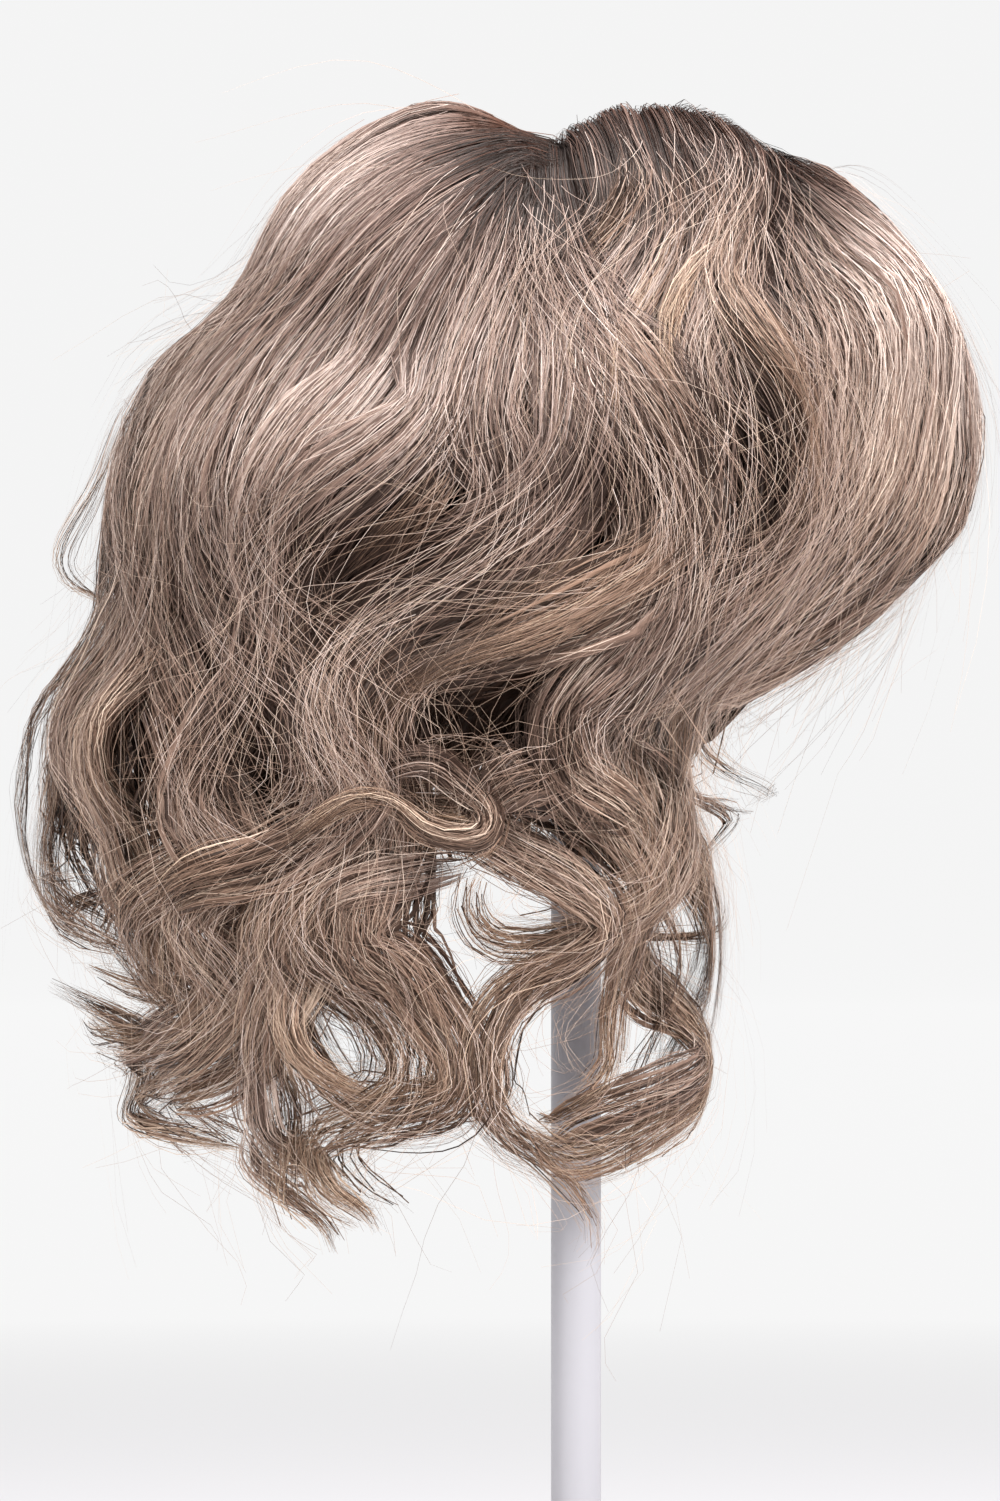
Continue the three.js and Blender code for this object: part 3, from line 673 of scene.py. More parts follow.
def curl_guide(curl):
    """Guide of a smaller curl that comes out of the hair and coils in depth as it falls."""
    bends = np.array(curl.bends, float)
    rise = 1 - CURL_SUNK * np.maximum(1 - np.arange(len(bends)) / 2, 0)
    points = points_on_mass(bends[:, 0], bends[:, 1], abs(curl.layer) * rise, curl.layer < 0)
    return guide_along(points + out_of_mass(points) * coil_in_depth(bends[:, 1]), CURL_ROOT)


def painted_light_change(points):
    """Painted shade and highlight: how much darker or lighter strands are at points, before the pole only."""
    change = np.zeros(points.shape[:-1])
    for spot in PAINTED_LIGHT_SPOTS:
        across = (points[..., 0] - spot.across) / spot.wide
        up = (points[..., 2] - spot.up) / spot.high
        change += spot.change * np.exp(-across ** 2 - up ** 2)
    return np.where(points[..., 1] < 0, change, 0)


def veil_guide(turn, hem, phase):
    """Guide down the inner layer at a turn round the pole, straight at first and coiled towards its hem."""
    up = np.linspace(VEIL_TOP, hem, VEIL_BENDS)
    middle, half, front = outline_at(up)
    coil = 2 * math.pi * up / VEIL_WAVE_LENGTH + phase
    wave = VEIL_WAVE * (1 - smoothstep(up, CURL_FULL, CURL_START))
    turns = turn + wave * np.sin(coil) / half
    layer = VEIL_LAYER * (1 - VEIL_TUCK * smoothstep(up, VEIL_TUCK_FROM, VEIL_TOP))
    depth = np.where(np.sin(turns) > 0, BACK_DEPTH, 1) * front
    across = middle + (layer * half + wave * np.cos(coil)) * np.cos(turns)
    return guide_along(np.stack([across, layer * depth * np.sin(turns), up], axis=-1), VEIL_ROOT)


def guide_along(points, root):
    """Guide through points in space: its calm line, the waves about it, and a frame on the hair mass."""
    curve = smooth_path(points)
    length = np.concatenate([[0], np.cumsum(np.linalg.norm(np.diff(curve, axis=0), axis=1))])
    run = np.arange(0, length[-1], 1.0)
    path = np.stack([np.interp(run, length, curve[:, axis]) for axis in range(3)], axis=-1)
    path = calm_line(path, BEND_REACH)
    calm = calm_line(path, min(CALM_REACH, len(path) - 2))
    ahead = unit(np.gradient(path, axis=0))
    across = unit(np.cross(ahead, out_of_mass(path)))
    turning = calm_line(np.gradient(ahead, axis=0), BEND_REACH)
    step = STATION_TURN / np.maximum(np.linalg.norm(turning, axis=1), STATION_TURN / MOST_STEP)
    fine = (run < ROOT_RUN) | (path[:, 2] > CREST_FROM)
    step = np.maximum(np.where(fine, np.minimum(step, ROOT_STEP), step), LEAST_STEP)
    count = np.cumsum(1 / step)
    stations = np.interp(np.linspace(count[0], count[-1], math.ceil(count[-1])), count, run)
    bend = np.sum(turning * across, axis=1)
    return Guide(calm, path - calm, across, np.cross(across, ahead), bend, run, stations, root)


def within_outline(points):
    """Points drawn back to the outline of the hair, but for a small overhang."""
    middle, half, _ = outline_at(points[..., 2])
    side = points[..., 0] - middle
    over = np.maximum(np.abs(side) - half, 0)
    across = points[..., 0] - np.sign(side) * (1 - OVERHANG) * over
    above = np.maximum(points[..., 2] - crest_at(across), 0)
    return np.stack([across, points[..., 1], points[..., 2] - (1 - OVERHANG) * above], axis=-1)


def calm_line(path, reach):
    """A path with its waves drawn out by a moving average over a reach of points each way."""
    lead = 2 * path[0] - path[reach:0:-1]
    tail = 2 * path[-1] - path[-2:-reach - 2:-1]
    padded = np.vstack([lead, path, tail])
    weight = np.hanning(2 * reach + 3)[1:-1]
    return np.stack([np.convolve(axis, weight / weight.sum(), "valid") for axis in padded.T], axis=-1)


def read_along(guide, table, run):
    """A guide's table read at runs along it."""
    return np.stack([np.interp(run, guide.run, column) for column in table.T], axis=-1)


def grow(guide, rng, style):
    """Strands round a guide, broad ones under fine ones, in clumps that draw together towards the tips."""
    count = style.broad + style.fine
    is_broad = np.arange(count) < style.broad
    broad = is_broad[:, None]
    clumps = max(1, round(count / style.clump))
    clump_of = rng.integers(0, clumps, count)
    clump_side = rng.uniform(-1, 1, (clumps, 2))[clump_of]
    own_side = rng.uniform(-1, 1, (count, 2))
    in_clump = rng.normal(0, CLUMP_SPREAD, (count, 2))

    cut = rng.uniform(*CLUMP_CUTS, clumps)[clump_of] * rng.uniform(*STRAND_CUTS, count)
    cut = np.where(rng.random(count) < SHORT_STRANDS, cut * rng.uniform(*SHORT_CUTS, count), cut)[:, None]
    length = guide.run[-1]
    begin = np.where(style.start > 0, rng.uniform(0, RAGGED_ROOT, count), 0)[:, None]
    along = begin + guide.stations / length * (cut - begin)
    slide = rng.normal(0, CLUMP_SLIDE, clumps)[clump_of] + rng.normal(0, STRAND_SLIDE, count)
    slide = style.stray * slide[:, None]
    loose = smoothstep(along, *LOOSENING)
    run = np.clip(along * length + slide * loose, 0, length)

    across, out = unit(read_along(guide, guide.across, run)), unit(read_along(guide, guide.out, run))
    swing = rng.uniform(*CLUMP_SWINGS, clumps)[clump_of] + rng.normal(0, STRAND_SWING, count)
    swing = 1 + style.stray * (swing[:, None] - 1) * smoothstep(along, *SWINGING)
    hold = ROOT_HOLD + TIP_HOLD * smoothstep(along, *CLUMPING)
    wide = own_side[:, :1] * (1 - hold) + (clump_side + in_clump)[:, :1] * hold
    deep = own_side[:, 1:] * (1 - hold) + (clump_side + in_clump)[:, 1:] * hold
    deep = deep * np.where(broad, BROAD_LIE.spread, FINE_LIE.spread)
    deep = deep + np.where(broad, BROAD_LIE.middle, FINE_LIE.middle)
    turn = LOCK_TURN * wide + CLUMP_TURN * in_clump[:, :1]
    wide = wide * style.width / 2 * np.interp(along, ALONG, [guide.root.spread, *WIDTH_ALONG])
    deep = deep * LOCK_THICKNESS / 2 * np.interp(along, ALONG, THICKNESS_ALONG)
    wide = wide + loose * style.stray * sway(rng, run, clump_of, count, is_broad)
    deep = deep + loose * style.stray * DEPTH_DRIFT * sway(rng, run, clump_of, count, is_broad)
    wide = wide / (1 + np.maximum(wide * np.interp(run, guide.run, guide.bend), 0))

    line = read_along(guide, guide.calm, run) + read_along(guide, guide.wave, run) * swing[..., None]
    at_root = np.zeros(run.shape)
    if guide.root.rise:
        at_root = 1 - smoothstep(run, *LEAVING_CREST)
        across[..., 2] *= 1 - at_root
        out[..., 0] *= 1 - at_root
        across, out = unit(across), unit(out)
    points = line + across * wide[..., None] + out * deep[..., None]
    if guide.root.rise:
        points[..., 2] += at_root * (crest_at(points[..., 0]) - crest_at(line[..., 0]))
        slope = at_root * (crest_at(points[..., 0] + 1) - crest_at(points[..., 0] - 1)) / 2
        across[..., 2] += slope * across[..., 0]
        out[..., 0] -= slope * out[..., 2]
        across, out = unit(across), unit(out)
    band = 2 * math.pi * (points[..., 2] - BAND_UP) / BAND_LENGTH - points[..., 0] / BAND_SLANT
    band = band + BAND_SLIDE * slide
    banded = loose * smoothstep(points[..., 2], CURL_FULL, CURL_START)
    # Spots paint shade and highlight into the strands' tones, and sink or lift the strands of the locks
    change = painted_light_change(points) * (CURL_SPOT if style.start else 1)
    rise = banded * BAND_DEPTH * np.sin(band) + (0 if style.start else SPOT_DEPTH * loose * change)
    rise = rise - BROAD_DROP * broad * smoothstep(points[..., 2], VEIL_TUCK_FROM, CREST_FROM)
    points = points + out * rise[..., None]
    if not style.start:
        points = within_outline(points)

    ahead = unit(np.gradient(points, axis=1))
    twist = np.where(is_broad, rng.normal(0, BROAD_TWIST, count), rng.normal(0, FINE_TWIST, count))
    twist = (twist[:, None] * (1 - at_root))[..., None]
    sides = np.cos(twist) * across + np.sin(twist) * out
    sides = unit(sides - ahead * np.sum(ahead * sides, axis=-1, keepdims=True))
    turn = turn[..., None] + TWIST_TURN * twist
    lean = (BAND_LEAN * banded * np.cos(band))[..., None]
    normals = np.sin(turn) * across + np.cos(turn) * out + FACE_TURN * np.cross(sides, ahead)
    normals = unit(normals - ahead * lean * np.sign(ahead[..., 2:]))

    widened = CURL_WIDENS * (along - begin) if style.start else ROOT_WIDTH + ROOT_WIDENS * along
    thin = np.minimum(1, widened) * (1 - TIP_THINS * smoothstep(along / cut, style.taper, 1))
    halves = np.where(is_broad, style.broad_width, style.fine_width) / 2 * rng.uniform(*STRAND_WIDTHS, count)
    tones = rng.normal(0, LOCK_TONES) + rng.normal(0, CLUMP_TONES, clumps)[clump_of]
    tones = tones + rng.normal(style.tone, STRAND_TONES, count)
    # Tones take the spots' painted shade and highlight, and the broad strands under the fine ones their
    # painted shade
    tones = (tones + np.where(is_broad, BROAD_PAINTED_SHADE, FINE_TONE))[:, None] + change
    spans = np.where(is_broad, BROAD_SPAN, FINE_SPAN)
    along = style.start + (1 - style.start) * along
    return Strands(points, sides, halves[:, None] * thin, normals, np.clip(tones, *TONE_RANGE), spans, along)


def grow_loose(guides, rng, count, width):
    """Single hairs that leave their locks, rise off them and drift to a side."""
    groups = []
    share = np.linspace(0, 1, LOOSE_STATIONS)
    low, high = (np.array(corner) / MM for corner in CAD_BOX)
    for guide, hairs in zip(guides, rng.multinomial(count, np.full(len(guides), 1 / len(guides)))):
        each = (hairs, 1)
        length = guide.run[-1]
        start = rng.uniform(*LOOSE_STARTS, each) * length
        run = np.minimum(start + rng.uniform(*LOOSE_LENGTHS, each) * share, length)
        across, out = unit(read_along(guide, guide.across, run)), unit(read_along(guide, guide.out, run))
        wide = rng.uniform(*LOOSE_SIDES, each) + rng.normal(0, LOOSE_DRIFT, each) * share ** LOOSE_LATE
        reach = rng.uniform(*LOOSE_WAVES.reaches, each)
        wide = wide + reach * np.sin(run / rng.uniform(*LOOSE_WAVES.lengths, each))
        deep = LOOSE_LIFT + rng.gamma(*LOOSE_RISE, each) * share
        swing = rng.uniform(*LOOSE_SWINGS, (hairs, 1, 1))
        line = read_along(guide, guide.calm, run) + read_along(guide, guide.wave, run) * swing
        points = within_outline(line) + across * wide[..., None] + out * deep[..., None]
        points = np.clip(points, low - LOOSE_REACH, high + LOOSE_REACH)
        ahead = unit(np.gradient(points, axis=1))
        sides = unit(np.cross(ahead, out))
        halves = np.full(each, width / 2) * (1 - LOOSE_THINS * share)
        tones = np.clip(np.broadcast_to(rng.normal(*LOOSE_TONES, each), run.shape), *TONE_RANGE)
        along = np.broadcast_to(LOOSE_GROWTH[0] + LOOSE_GROWTH[1] * share, run.shape)
        groups.append(Strands(points, sides, halves, out, tones, np.full(hairs, FINE_SPAN), along))
    return groups


def sway(rng, run, clump_of, count, is_broad):
    """Side to side drift: slow for a clump, finer for each strand, and wide for a few loose ones."""
    clumps = clump_of.max() + 1
    together = wave_along(rng, run, clump_of, clumps, CLUMP_DRIFT)
    across_locks = wave_along(rng, run, clump_of, clumps, CROSSING_DRIFT)
    each = np.arange(count)
    apart = wave_along(rng, run, each, count, STRAND_DRIFT) * np.where(is_broad, BROAD_DRIFT, 1)[:, None]
    astray = wave_along(rng, run, each, count, STRAY_DRIFT)
    crossing = (rng.random(clumps) < CROSSING_CLUMPS)[clump_of]
    strayed = (rng.random(count) < STRAY_STRANDS) & ~is_broad
    return together + apart + crossing[:, None] * across_locks + strayed[:, None] * astray


def wave_along(rng, run, group_of, groups, drift):
    """Sine wave along the run for each group, of a random reach, length and start."""
    reach = rng.uniform(*drift.reaches, groups)[group_of][:, None]
    length = rng.uniform(*drift.lengths, groups)[group_of][:, None]
    start = rng.uniform(0, 2 * math.pi, groups)[group_of][:, None]
    return reach * np.sin(2 * math.pi * run / length + start)


def strand_piece(name, groups, material):
    """One mesh of flat strands, with each strand's tone and place along it in its map."""
    corners, faces, maps, normals = [], [], [], []
    start = 0
    for group in groups:
        shape = (*group.points.shape[:2], 2)
        edges = np.array([-1, 1])[:, None] * group.sides[:, :, None]
        corners.append((group.points[:, :, None] + edges * group.halves[..., None, None]).reshape(-1, 3))
        normals.append(unit(group.normals[:, :, None] + ROUNDNESS * edges).reshape(-1, 3))
        index = start + np.arange(np.prod(shape)).reshape(shape)
        quads = [index[:, :-1, 0], index[:, :-1, 1], index[:, 1:, 1], index[:, 1:, 0]]
        faces.append(np.stack(quads, axis=-1).reshape(-1, 4))
        tone = np.stack([group.tones, group.tones + group.spans[:, None]], axis=-1)
        along = np.broadcast_to(group.along[..., None], shape)
        maps.append(np.stack([tone, along], axis=-1).reshape(-1, 2))
        start += np.prod(shape)
    corners, faces, maps = np.vstack(corners) * MM, np.vstack(faces), np.vstack(maps)

    mesh = bpy.data.meshes.new(name)
    mesh.vertices.add(len(corners))
    mesh.vertices.foreach_set("co", corners.astype(np.float32).ravel())
    mesh.loops.add(faces.size)
    mesh.loops.foreach_set("vertex_index", faces.astype(np.int32).ravel())
    mesh.polygons.add(len(faces))
    mesh.polygons.foreach_set("loop_start", np.arange(0, faces.size, 4, dtype=np.int32))
    mesh.update(calc_edges=True)
    layer = mesh.uv_layers.new(name=STRAND_MAP)
    layer.data.foreach_set("uv", maps[faces.ravel()].astype(np.float32).ravel())
    mesh.shade_smooth()
    mesh.normals_split_custom_set_from_vertices(np.vstack(normals))
    mesh.materials.append(material)
    return place_piece(name, mesh, "hair")


def place_piece(name, mesh, node):
    """Piece that stands for a CAD node, which it hides; its finish comes with its mesh."""
    piece = bpy.data.objects.new(name, mesh)
    bpy.context.scene.collection.objects.link(piece)
    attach(piece, BODY)
    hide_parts(node)
    return piece


def add_node(tree, kind, settings=None, links=None):
    """Node with its settings, its sockets' values and its links from other nodes' outputs."""
    node = tree.nodes.new(kind)
    for name, value in (settings or {}).items():
        if isinstance(name, int) or name in node.inputs:
            node.inputs[name].default_value = value
        else:
            setattr(node, name, value)
    for name, output in (links or {}).items():
        tree.links.new(output, node.inputs[name])
    return node


def new_material(name):
    """Material with an empty node tree."""
    material = bpy.data.materials.new(name)
    material.use_nodes = True
    tree = material.node_tree
    tree.nodes.clear()
    return material, tree


def set_ramp(ramp, stops):
    """Colour ramp from pairs of place and linear colour."""
    elements = ramp.color_ramp.elements
    while len(elements) < len(stops):
        elements.new(0.5)
    for element, (place, colour) in zip(elements, stops):
        element.position = place
        element.color = (*colour, 1)


def show(tree, shader):
    """A shader as the surface of its material."""
    add_node(tree, "ShaderNodeOutputMaterial", links={"Surface": shader.outputs["BSDF"]})


def fine_noise(tree, grain, detail):
    """Noise with a grain in metres on the piece's own coordinates."""
    place = add_node(tree, "ShaderNodeTexCoord")
    settings = {"Scale": 1 / grain, "Detail": detail}
    return add_node(tree, "ShaderNodeTexNoise", settings, {"Vector": place.outputs["Object"]}).outputs["Fac"]


def hair_fibre(hair):
    """Fine human hair, dyed ash blond over a brown root: satin fibres of many shades, darker at the root."""
    name = "hair fibre, ash blond"
    if name in bpy.data.materials:
        return bpy.data.materials[name]
    material, tree = new_material(name)
    strand = add_node(tree, "ShaderNodeUVMap", {"uv_map": STRAND_MAP})
    split = add_node(tree, "ShaderNodeSeparateXYZ", links={"Vector": strand.outputs["UV"]})
    streak_place = add_node(
        tree, "ShaderNodeVectorMath", {"operation": "MULTIPLY", 1: STREAKS}, {0: strand.outputs["UV"]})
    streak = add_node(
        tree, "ShaderNodeTexNoise", {"noise_dimensions": "2D", "Scale": 1.0, "Detail": 1.0},
        {"Vector": streak_place.outputs["Vector"]})
    change = add_node(
        tree, "ShaderNodeMapRange", {"To Min": -STREAK_DEPTH / 2, "To Max": STREAK_DEPTH / 2},
        {"Value": streak.outputs["Fac"]})
    tone = add_node(
        tree, "ShaderNodeMath", {"operation": "ADD"}, {0: change.outputs["Result"], 1: split.outputs["X"]})
    shade = add_node(tree, "ShaderNodeValToRGB", links={"Fac": tone.outputs["Value"]})
    set_ramp(shade, [(0.1, hair.shade), (0.5, hair.body), (0.95, hair.light)])
    growth = add_node(tree, "ShaderNodeValToRGB", links={"Fac": split.outputs["Y"]})
    set_ramp(growth, [(0.06, hair.root), (0.26, (1, 1, 1)), (0.9, hair.tip)])
    tint = add_node(
        tree, "ShaderNodeMix", {"data_type": "RGBA", "blend_type": "MULTIPLY", "Factor": 1.0},
        {6: shade.outputs["Color"], 7: growth.outputs["Color"]})
    fibre = add_node(
        tree, "ShaderNodeBsdfPrincipled",
        {"Roughness": 0.46, "IOR": 1.5, "Specular IOR Level": 0.36, "Specular Tint": (*hair.gloss, 1)},
        {"Base Color": tint.outputs[2]})
    show(tree, fibre)
    return material


def stand_plastic(stand):
    """Moulded matt ABS: an even white with a faint orange-peel skin that softens its gloss."""
    material, tree = new_material("ABS plastic, matt white")
    peel = fine_noise(tree, 1.5 * MM, 2.0)
    bump = add_node(tree, "ShaderNodeBump", {"Strength": 0.05, "Distance": 0.1 * MM}, {"Height": peel})
    gloss = add_node(tree, "ShaderNodeMapRange", {"To Min": 0.42, "To Max": 0.52}, {"Value": peel})
    skin = add_node(
        tree, "ShaderNodeBsdfPrincipled", {"Base Color": (*stand.white, 1), "IOR": 1.5},
        {"Normal": bump.outputs["Normal"], "Roughness": gloss.outputs["Result"]})
    show(tree, skin)
    return material


def cap_net(stand):
    """Knitted polyester net: round threads with holes painted dark as shade, drawn coarse so that they show.
    """
    material, tree = new_material("knitted net, brown")
    place = add_node(tree, "ShaderNodeTexCoord")
    holes = add_node(
        tree, "ShaderNodeTexVoronoi", {"Scale": 1 / (1.6 * MM), "feature": "DISTANCE_TO_EDGE"},
        {"Vector": place.outputs["Object"]})
    threads = add_node(tree, "ShaderNodeValToRGB", links={"Fac": holes.outputs["Distance"]})
    # Holes between the threads are painted dark as shade
    hole_shade = tuple(0.35 * value for value in stand.net)
    set_ramp(threads, [(0.08, stand.net), (0.2, hole_shade)])
    bump = add_node(
        tree, "ShaderNodeBump", {"Strength": 0.5, "Distance": 0.3 * MM, "invert": True},
        {"Height": holes.outputs["Distance"]})
    knit = add_node(
        tree, "ShaderNodeBsdfPrincipled", {"Roughness": 0.85},
        {"Base Color": threads.outputs["Color"], "Normal": bump.outputs["Normal"]})
    show(tree, knit)
    return material


def clip_steel(stand):
    """Spring steel strip with baked brown-black enamel: a smooth satin coat, a little uneven."""
    material, tree = new_material("enamelled spring steel, dark")
    flow = fine_noise(tree, 4 * MM, 3.0)
    gloss = add_node(tree, "ShaderNodeMapRange", {"To Min": 0.28, "To Max": 0.42}, {"Value": flow})
    coat = add_node(
        tree, "ShaderNodeBsdfPrincipled", {"Base Color": (*stand.clip, 1)},
        {"Roughness": gloss.outputs["Result"]})
    show(tree, coat)
    return material


def backdrop_paper(stage):
    """Seamless background paper: pale and matt, and lit from behind further off so that it fades to white."""
    material, tree = new_material("background paper, white")
    place = add_node(tree, "ShaderNodeTexCoord")
    away = add_node(tree, "ShaderNodeVectorMath", {"operation": "LENGTH"}, {0: place.outputs["Object"]})
    lit = add_node(
        tree, "ShaderNodeMapRange", {"From Min": GLOW_FROM, "From Max": GLOW_FULL},
        {"Value": away.outputs["Value"]})
    sheet = add_node(
        tree, "ShaderNodeMix", {"data_type": "RGBA", 6: (*stage.backdrop, 1), 7: (0, 0, 0, 1)},
        {0: lit.outputs["Result"]})
    glow = (stage.glow, stage.glow, stage.glow, 1)
    paper = add_node(
        tree, "ShaderNodeBsdfPrincipled",
        {"Roughness": 0.95, "Specular IOR Level": 0.1, "Emission Color": glow},
        {"Base Color": sheet.outputs[2], "Emission Strength": lit.outputs["Result"]})
    show(tree, paper)
    material.cycles.emission_sampling = "NONE"
    return material


def strand_style(hair, width, tone=0.5, share=1.0, stray=1.0, start=0.0, coarse=1.0, slim=1.0, taper=0.65):
    """Numbers that shape one lock's strands, in millimetres."""
    return Style(
        broad=round(hair.broad_strands * share),
        fine=round(hair.fine_strands * share),
        clump=hair.clump_strands,
        width=width,
        tone=tone,
        stray=stray,
        start=start,
        taper=taper,
        broad_width=slim * coarse * hair.broad_width / MM,
        fine_width=coarse * hair.fine_width / MM,
    )


class TOPPER_OT_front_hair(Operator):
    """Grow the strands of the front locks"""

    bl_idname = "topper.front_hair"
    bl_label = "Front Hair"

    def execute(self, context):
        hair = context.scene.topper_hair
        rng = np.random.default_rng(SEED)
        for piece in FRONT_PIECES:
            groups = [
                grow(lock_guide(lock), rng, strand_style(hair, lock.width, stray=piece.stray))
                for lock in LOCKS if lock.name.startswith(piece.locks)
            ]
            strand_piece(piece.name, groups, hair_fibre(hair))
        return {"FINISHED"}


class TOPPER_OT_back_hair(Operator):
    """Grow the strands of the back locks"""

    bl_idname = "topper.back_hair"
    bl_label = "Back Hair"

    def execute(self, context):
        hair = context.scene.topper_hair
        rng = np.random.default_rng(SEED + 1)
        groups = [
            grow(lock_guide(lock, behind=True), rng, strand_style(
                hair, lock.width * BACK_WIDTH, tone=0.45, share=0.6))
            for lock in LOCKS if lock.behind
        ]
        strand_piece("hair_back", groups, hair_fibre(hair))
        return {"FINISHED"}


class TOPPER_OT_inner_hair(Operator):
    """Grow the strands under the locks, painted darker as shade"""

    bl_idname = "topper.inner_hair"
    bl_label = "Inner Hair"

    def execute(self, context):
        hair = context.scene.topper_hair
        rng = np.random.default_rng(SEED + 2)
        groups = []
        for turn in np.arange(VEIL_GUIDES) * 2 * math.pi / VEIL_GUIDES:
            # The inner layer's low tone is painted shade under the locks
            style = strand_style(hair, width=34, tone=0.28, share=0.16, coarse=3.4, taper=0.85)
            hem = VEIL_HEM + rng.uniform(-VEIL_RAGGED, VEIL_RAGGED)
            phase = rng.uniform(0, 2 * math.pi)
            groups.append(grow(veil_guide(turn, hem, phase), rng, style))
        strand_piece("hair_veil", groups, hair_fibre(hair))
        groups = []
        for lock in LOCKS:
            if lock.name.startswith(LINED_LOCKS):
                # The lining's low tone is painted shade under the locks
                style = strand_style(hair, lock.width * LINING_WIDTH, tone=0.36, share=0.22)
                layers = [(layer, rng.uniform(*shifts)) for layer, shifts in LINING_LAYERS]
                for layer, shift in layers:
                    groups.append(grow(lock_guide(lock, layer=layer, shift=shift), rng, style))
        strand_piece("hair_lining", groups, hair_fibre(hair))
        return {"FINISHED"}


class TOPPER_OT_curls(Operator):
    """Grow the smaller curls and wisps"""

    bl_idname = "topper.curls"
    bl_label = "Curls and Wisps"

    def execute(self, context):
        hair = context.scene.topper_hair
        rng = np.random.default_rng(SEED + 3)
        groups = [
            grow(curl_guide(curl), rng, strand_style(
                hair, curl.width, curl.tone, curl.share, CURL_STRAY, CURL_GROWTH,
                slim=min(1, CURL_SLIM + curl.width / CURL_SLIM_WIDTH)))
            for curl in CURLS
        ]
        strand_piece("hair_curls", groups, hair_fibre(hair))
        return {"FINISHED"}


class TOPPER_OT_loose_hair(Operator):
    """Scatter the single loose hairs"""

    bl_idname = "topper.loose_hair"
    bl_label = "Loose Hairs"

    def execute(self, context):
        hair = context.scene.topper_hair
        rng = np.random.default_rng(SEED + 4)
        guides = [lock_guide(lock) for lock in LOCKS]
        guides += [lock_guide(lock, behind=True) for lock in LOCKS if lock.behind]
        groups = grow_loose(guides, rng, hair.loose_strands, hair.loose_width / MM)
        strand_piece("hair_loose", groups, hair_fibre(hair))
        return {"FINISHED"}


class TOPPER_OT_cap(Operator):
    """Give the cap and its clips their net and enamel"""

    bl_idname = "topper.cap"
    bl_label = "Cap and Clips"

    def execute(self, context):
        stand = context.scene.topper_stand
        finishes = {"cap_base": cap_net(stand)}
        steel = clip_steel(stand)
        for side in ("front", "back", "left", "right"):
            finishes[f"clip_{side}"] = steel
        for node, material in finishes.items():
            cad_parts[node].data.materials[0] = material
        return {"FINISHED"}


def turned_mesh(name, profile, sides=96):
    """Smooth mesh turned from a profile of radius and height, closed where it meets the axis."""
    turns = np.arange(sides) * 2 * math.pi / sides
    corners = [
        (radius * math.cos(turn), radius * math.sin(turn), height)
        for radius, height in profile
        for turn in turns
    ]
    faces = []
    for low in range(0, sides * (len(profile) - 1), sides):
        for side in range(sides):
            following = (side + 1) % sides
            faces.append((low + side, low + following, low + sides + following, low + sides + side))
    mesh = bpy.data.meshes.new(name)
    mesh.from_pydata(corners, [], faces)
    welded = bmesh.new()
    welded.from_mesh(mesh)
    bmesh.ops.remove_doubles(welded, verts=welded.verts, dist=WELD)
    welded.to_mesh(mesh)
    welded.free()
    mesh.shade_smooth()
    mesh.set_sharp_from_angle(angle=math.radians(SHARP))
    return mesh


def arc(centre, radius, start, end, steps=8):
    """Points of a round corner, from start to end in degrees."""
    angles = np.radians(np.linspace(start, end, steps))
    return [(centre[0] + radius * math.cos(a), centre[1] + radius * math.sin(a)) for a in angles]


class TOPPER_OT_stand(Operator):
    """Turn the stand's foot, pole and rest"""

    bl_idname = "topper.stand"
    bl_label = "Stand"

    def execute(self, context):
        plastic = stand_plastic(context.scene.topper_stand)
        profiles = {"stand_base": self.base(), "stand_pole": self.pole(), "stand_top": self.rest()}
        for node, profile in profiles.items():
            mesh = turned_mesh(f"{node}_smooth", profile)
            mesh.materials.append(plastic)
            place_piece(f"{node}_smooth", mesh, node)
        return {"FINISHED"}

    @staticmethod
    def base():
        """Low disc with a rounded edge and a collar round the pole."""
        low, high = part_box("stand_base")
        collar, edge, crown, edge_round = 13 * MM, 9 * MM, 14 * MM, 3 * MM
        fillet, chamfer, socket, gap = 4 * MM, MM, 2 * MM, 0.3 * MM
        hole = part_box("stand_pole")[1].x + gap
        top = low.z + crown
        return [
            (0, low.z),
            (high.x - chamfer, low.z),
            (high.x, low.z + chamfer),
            *arc((high.x - edge_round, low.z + edge - edge_round), edge_round, 0, 90),
            (collar + fillet, top),
            (collar + chamfer, top + chamfer),
            (collar, top + fillet),
            *arc((collar - chamfer, high.z - chamfer), chamfer, 0, 90),
            (hole, high.z),
            (hole, high.z - socket),
            (0, high.z - socket),
        ]

    @staticmethod
    def pole():
        """Straight round bar."""
        low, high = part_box("stand_pole")
        return [(0, low.z), (high.x, low.z), (high.x, high.z), (0, high.z)]

    @staticmethod
    def rest():
        """Rounded head under the cap."""
        low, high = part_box("stand_top")
        skirt = 5 * MM
        rise = high.z - low.z - skirt
        turns = np.radians(np.linspace(0, 84, 14))
        dome = [(high.x * math.cos(a), low.z + skirt + rise * math.sin(a)) for a in turns]
        foot = [(0, low.z), (high.x - skirt, low.z), *arc((high.x - skirt, low.z + skirt), skirt, -80, -10)]
        return [*foot, *dome, (0, high.z)]


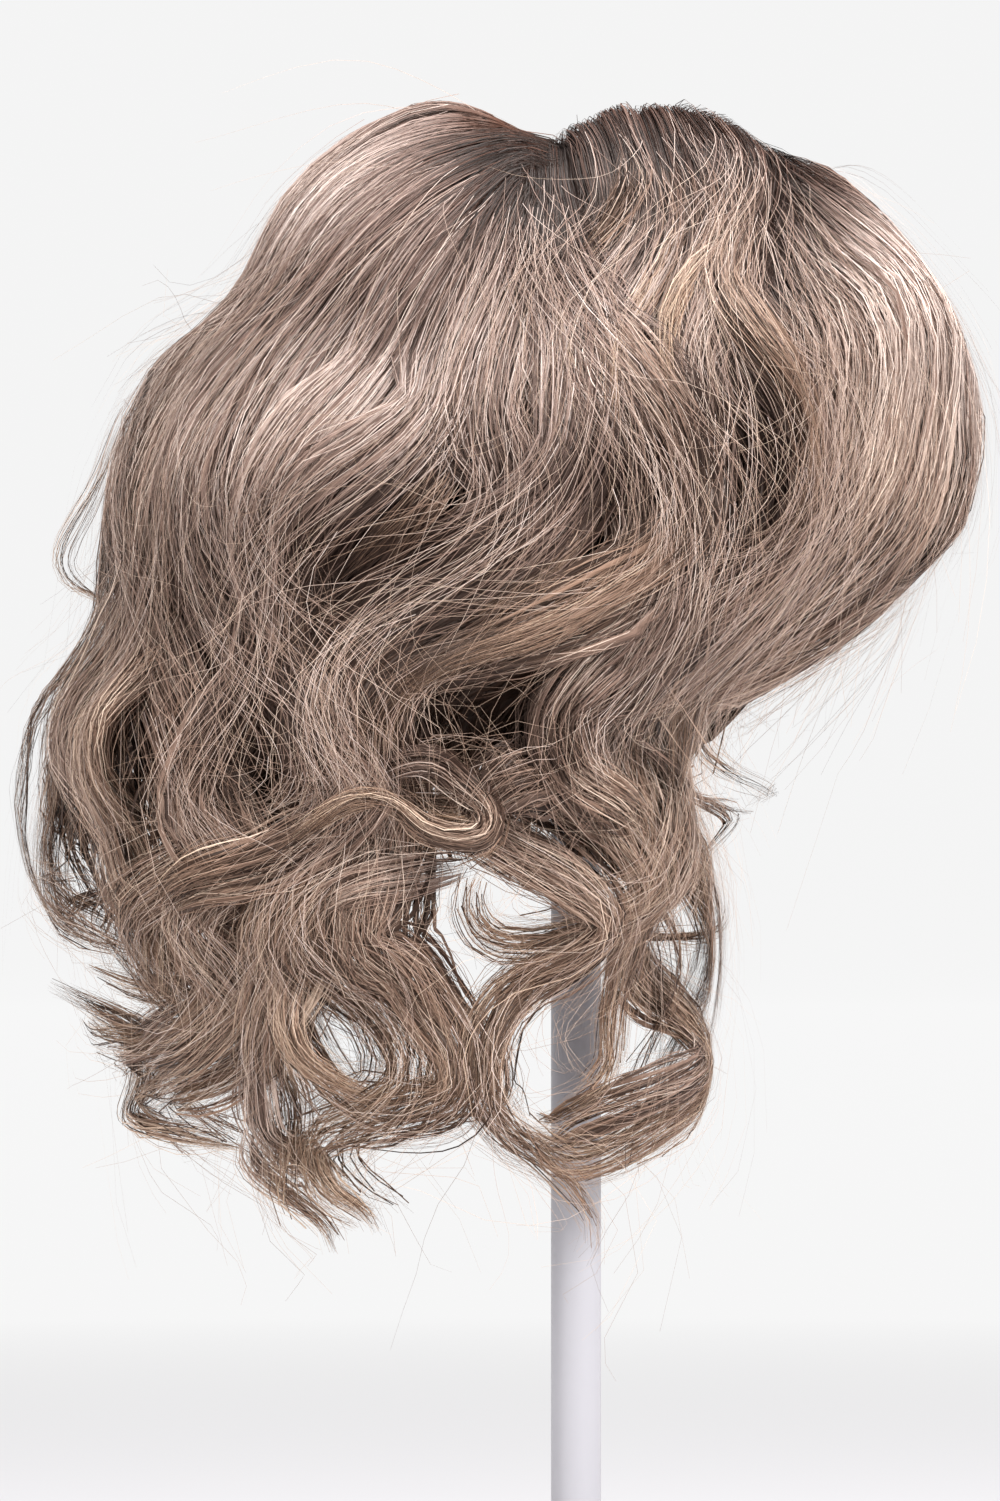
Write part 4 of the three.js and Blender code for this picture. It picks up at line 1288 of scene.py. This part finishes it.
class TOPPER_OT_stage(Operator):
    """Set the camera, the soft lights and the paper backdrop"""

    bl_idname = "topper.stage"
    bl_label = "Stage"

    def execute(self, context):
        stage = context.scene.topper_stage
        self.camera(context, stage)
        self.lights(context, stage)
        self.backdrop(context, stage)
        context.scene.view_settings.view_transform = "Standard"
        return {"FINISHED"}

    @staticmethod
    def camera(context, stage):
        """Level camera that frames what the photograph does."""
        data = bpy.data.cameras.new("camera")
        seen = PHOTO_HEIGHT * PIXEL_MM * MM
        data.lens = data.sensor_width * stage.distance / seen
        data.clip_end = CAMERA_REACH
        camera = bpy.data.objects.new("camera", data)
        across = (PHOTO_WIDTH / 2 - POLE_PIXEL) * PIXEL_MM * MM
        camera.location = (across, -stage.distance, PHOTO_FOOT_MM * MM + seen / 2)
        camera.rotation_euler = (math.pi / 2, 0, 0)
        context.scene.collection.objects.link(camera)
        context.scene.camera = camera

    @staticmethod
    def lights(context, stage):
        """Large softboxes and an even white room."""
        for box in SOFTBOXES:
            data = bpy.data.lights.new(box.name, "AREA")
            data.energy = getattr(stage, box.power)
            data.size = box.size
            light = bpy.data.objects.new(box.name, data)
            light.location = box.place
            light.rotation_euler = (LIGHT_AIM - light.location).to_track_quat("-Z", "Y").to_euler()
            context.scene.collection.objects.link(light)
        world = bpy.data.worlds.new("white room")
        world.use_nodes = True
        sky = world.node_tree.nodes["Background"]
        sky.inputs["Color"].default_value = (1, 1, 1, 1)
        sky.inputs["Strength"].default_value = stage.sky_strength
        context.scene.world = world

    @staticmethod
    def backdrop(context, stage):
        """Paper that runs along the floor and up all round in one sweep."""
        centre = (BACKDROP_RADIUS - BACKDROP_BEND, BACKDROP_BEND)
        sweep = arc(centre, BACKDROP_BEND, -90, 0, steps=16)
        mesh = turned_mesh("backdrop", [(0, 0), *sweep, (BACKDROP_RADIUS, BACKDROP_HEIGHT)])
        mesh.materials.append(backdrop_paper(stage))
        paper = bpy.data.objects.new("backdrop", mesh)
        context.scene.collection.objects.link(paper)


class TOPPER_PT_panel(Panel):
    """Steps that dress the topper"""

    bl_idname = "TOPPER_PT_panel"
    bl_label = "Hair Topper"
    bl_space_type = "VIEW_3D"
    bl_region_type = "UI"
    bl_category = "Topper"

    def draw(self, context):
        for step in STEPS:
            self.layout.operator(step.bl_idname)
        for group in (context.scene.topper_hair, context.scene.topper_stand, context.scene.topper_stage):
            for name in group.__annotations__:
                self.layout.prop(group, name)


STEPS = (
    TOPPER_OT_stage,
    TOPPER_OT_stand,
    TOPPER_OT_cap,
    TOPPER_OT_inner_hair,
    TOPPER_OT_back_hair,
    TOPPER_OT_front_hair,
    TOPPER_OT_curls,
    TOPPER_OT_loose_hair,
)
GROUPS = {"topper_hair": TopperHair, "topper_stand": TopperStand, "topper_stage": TopperStage}


def register():
    for kind in (*GROUPS.values(), *STEPS, TOPPER_PT_panel):
        bpy.utils.register_class(kind)
    for name, group in GROUPS.items():
        setattr(bpy.types.Scene, name, PointerProperty(type=group))


def unregister():
    for name in GROUPS:
        delattr(bpy.types.Scene, name)
    for kind in reversed((*GROUPS.values(), *STEPS, TOPPER_PT_panel)):
        bpy.utils.unregister_class(kind)


def main():
    register()
    for step in STEPS:
        family, name = step.bl_idname.split(".")
        getattr(getattr(bpy.ops, family), name)()


if __name__ == "__main__":
    main()
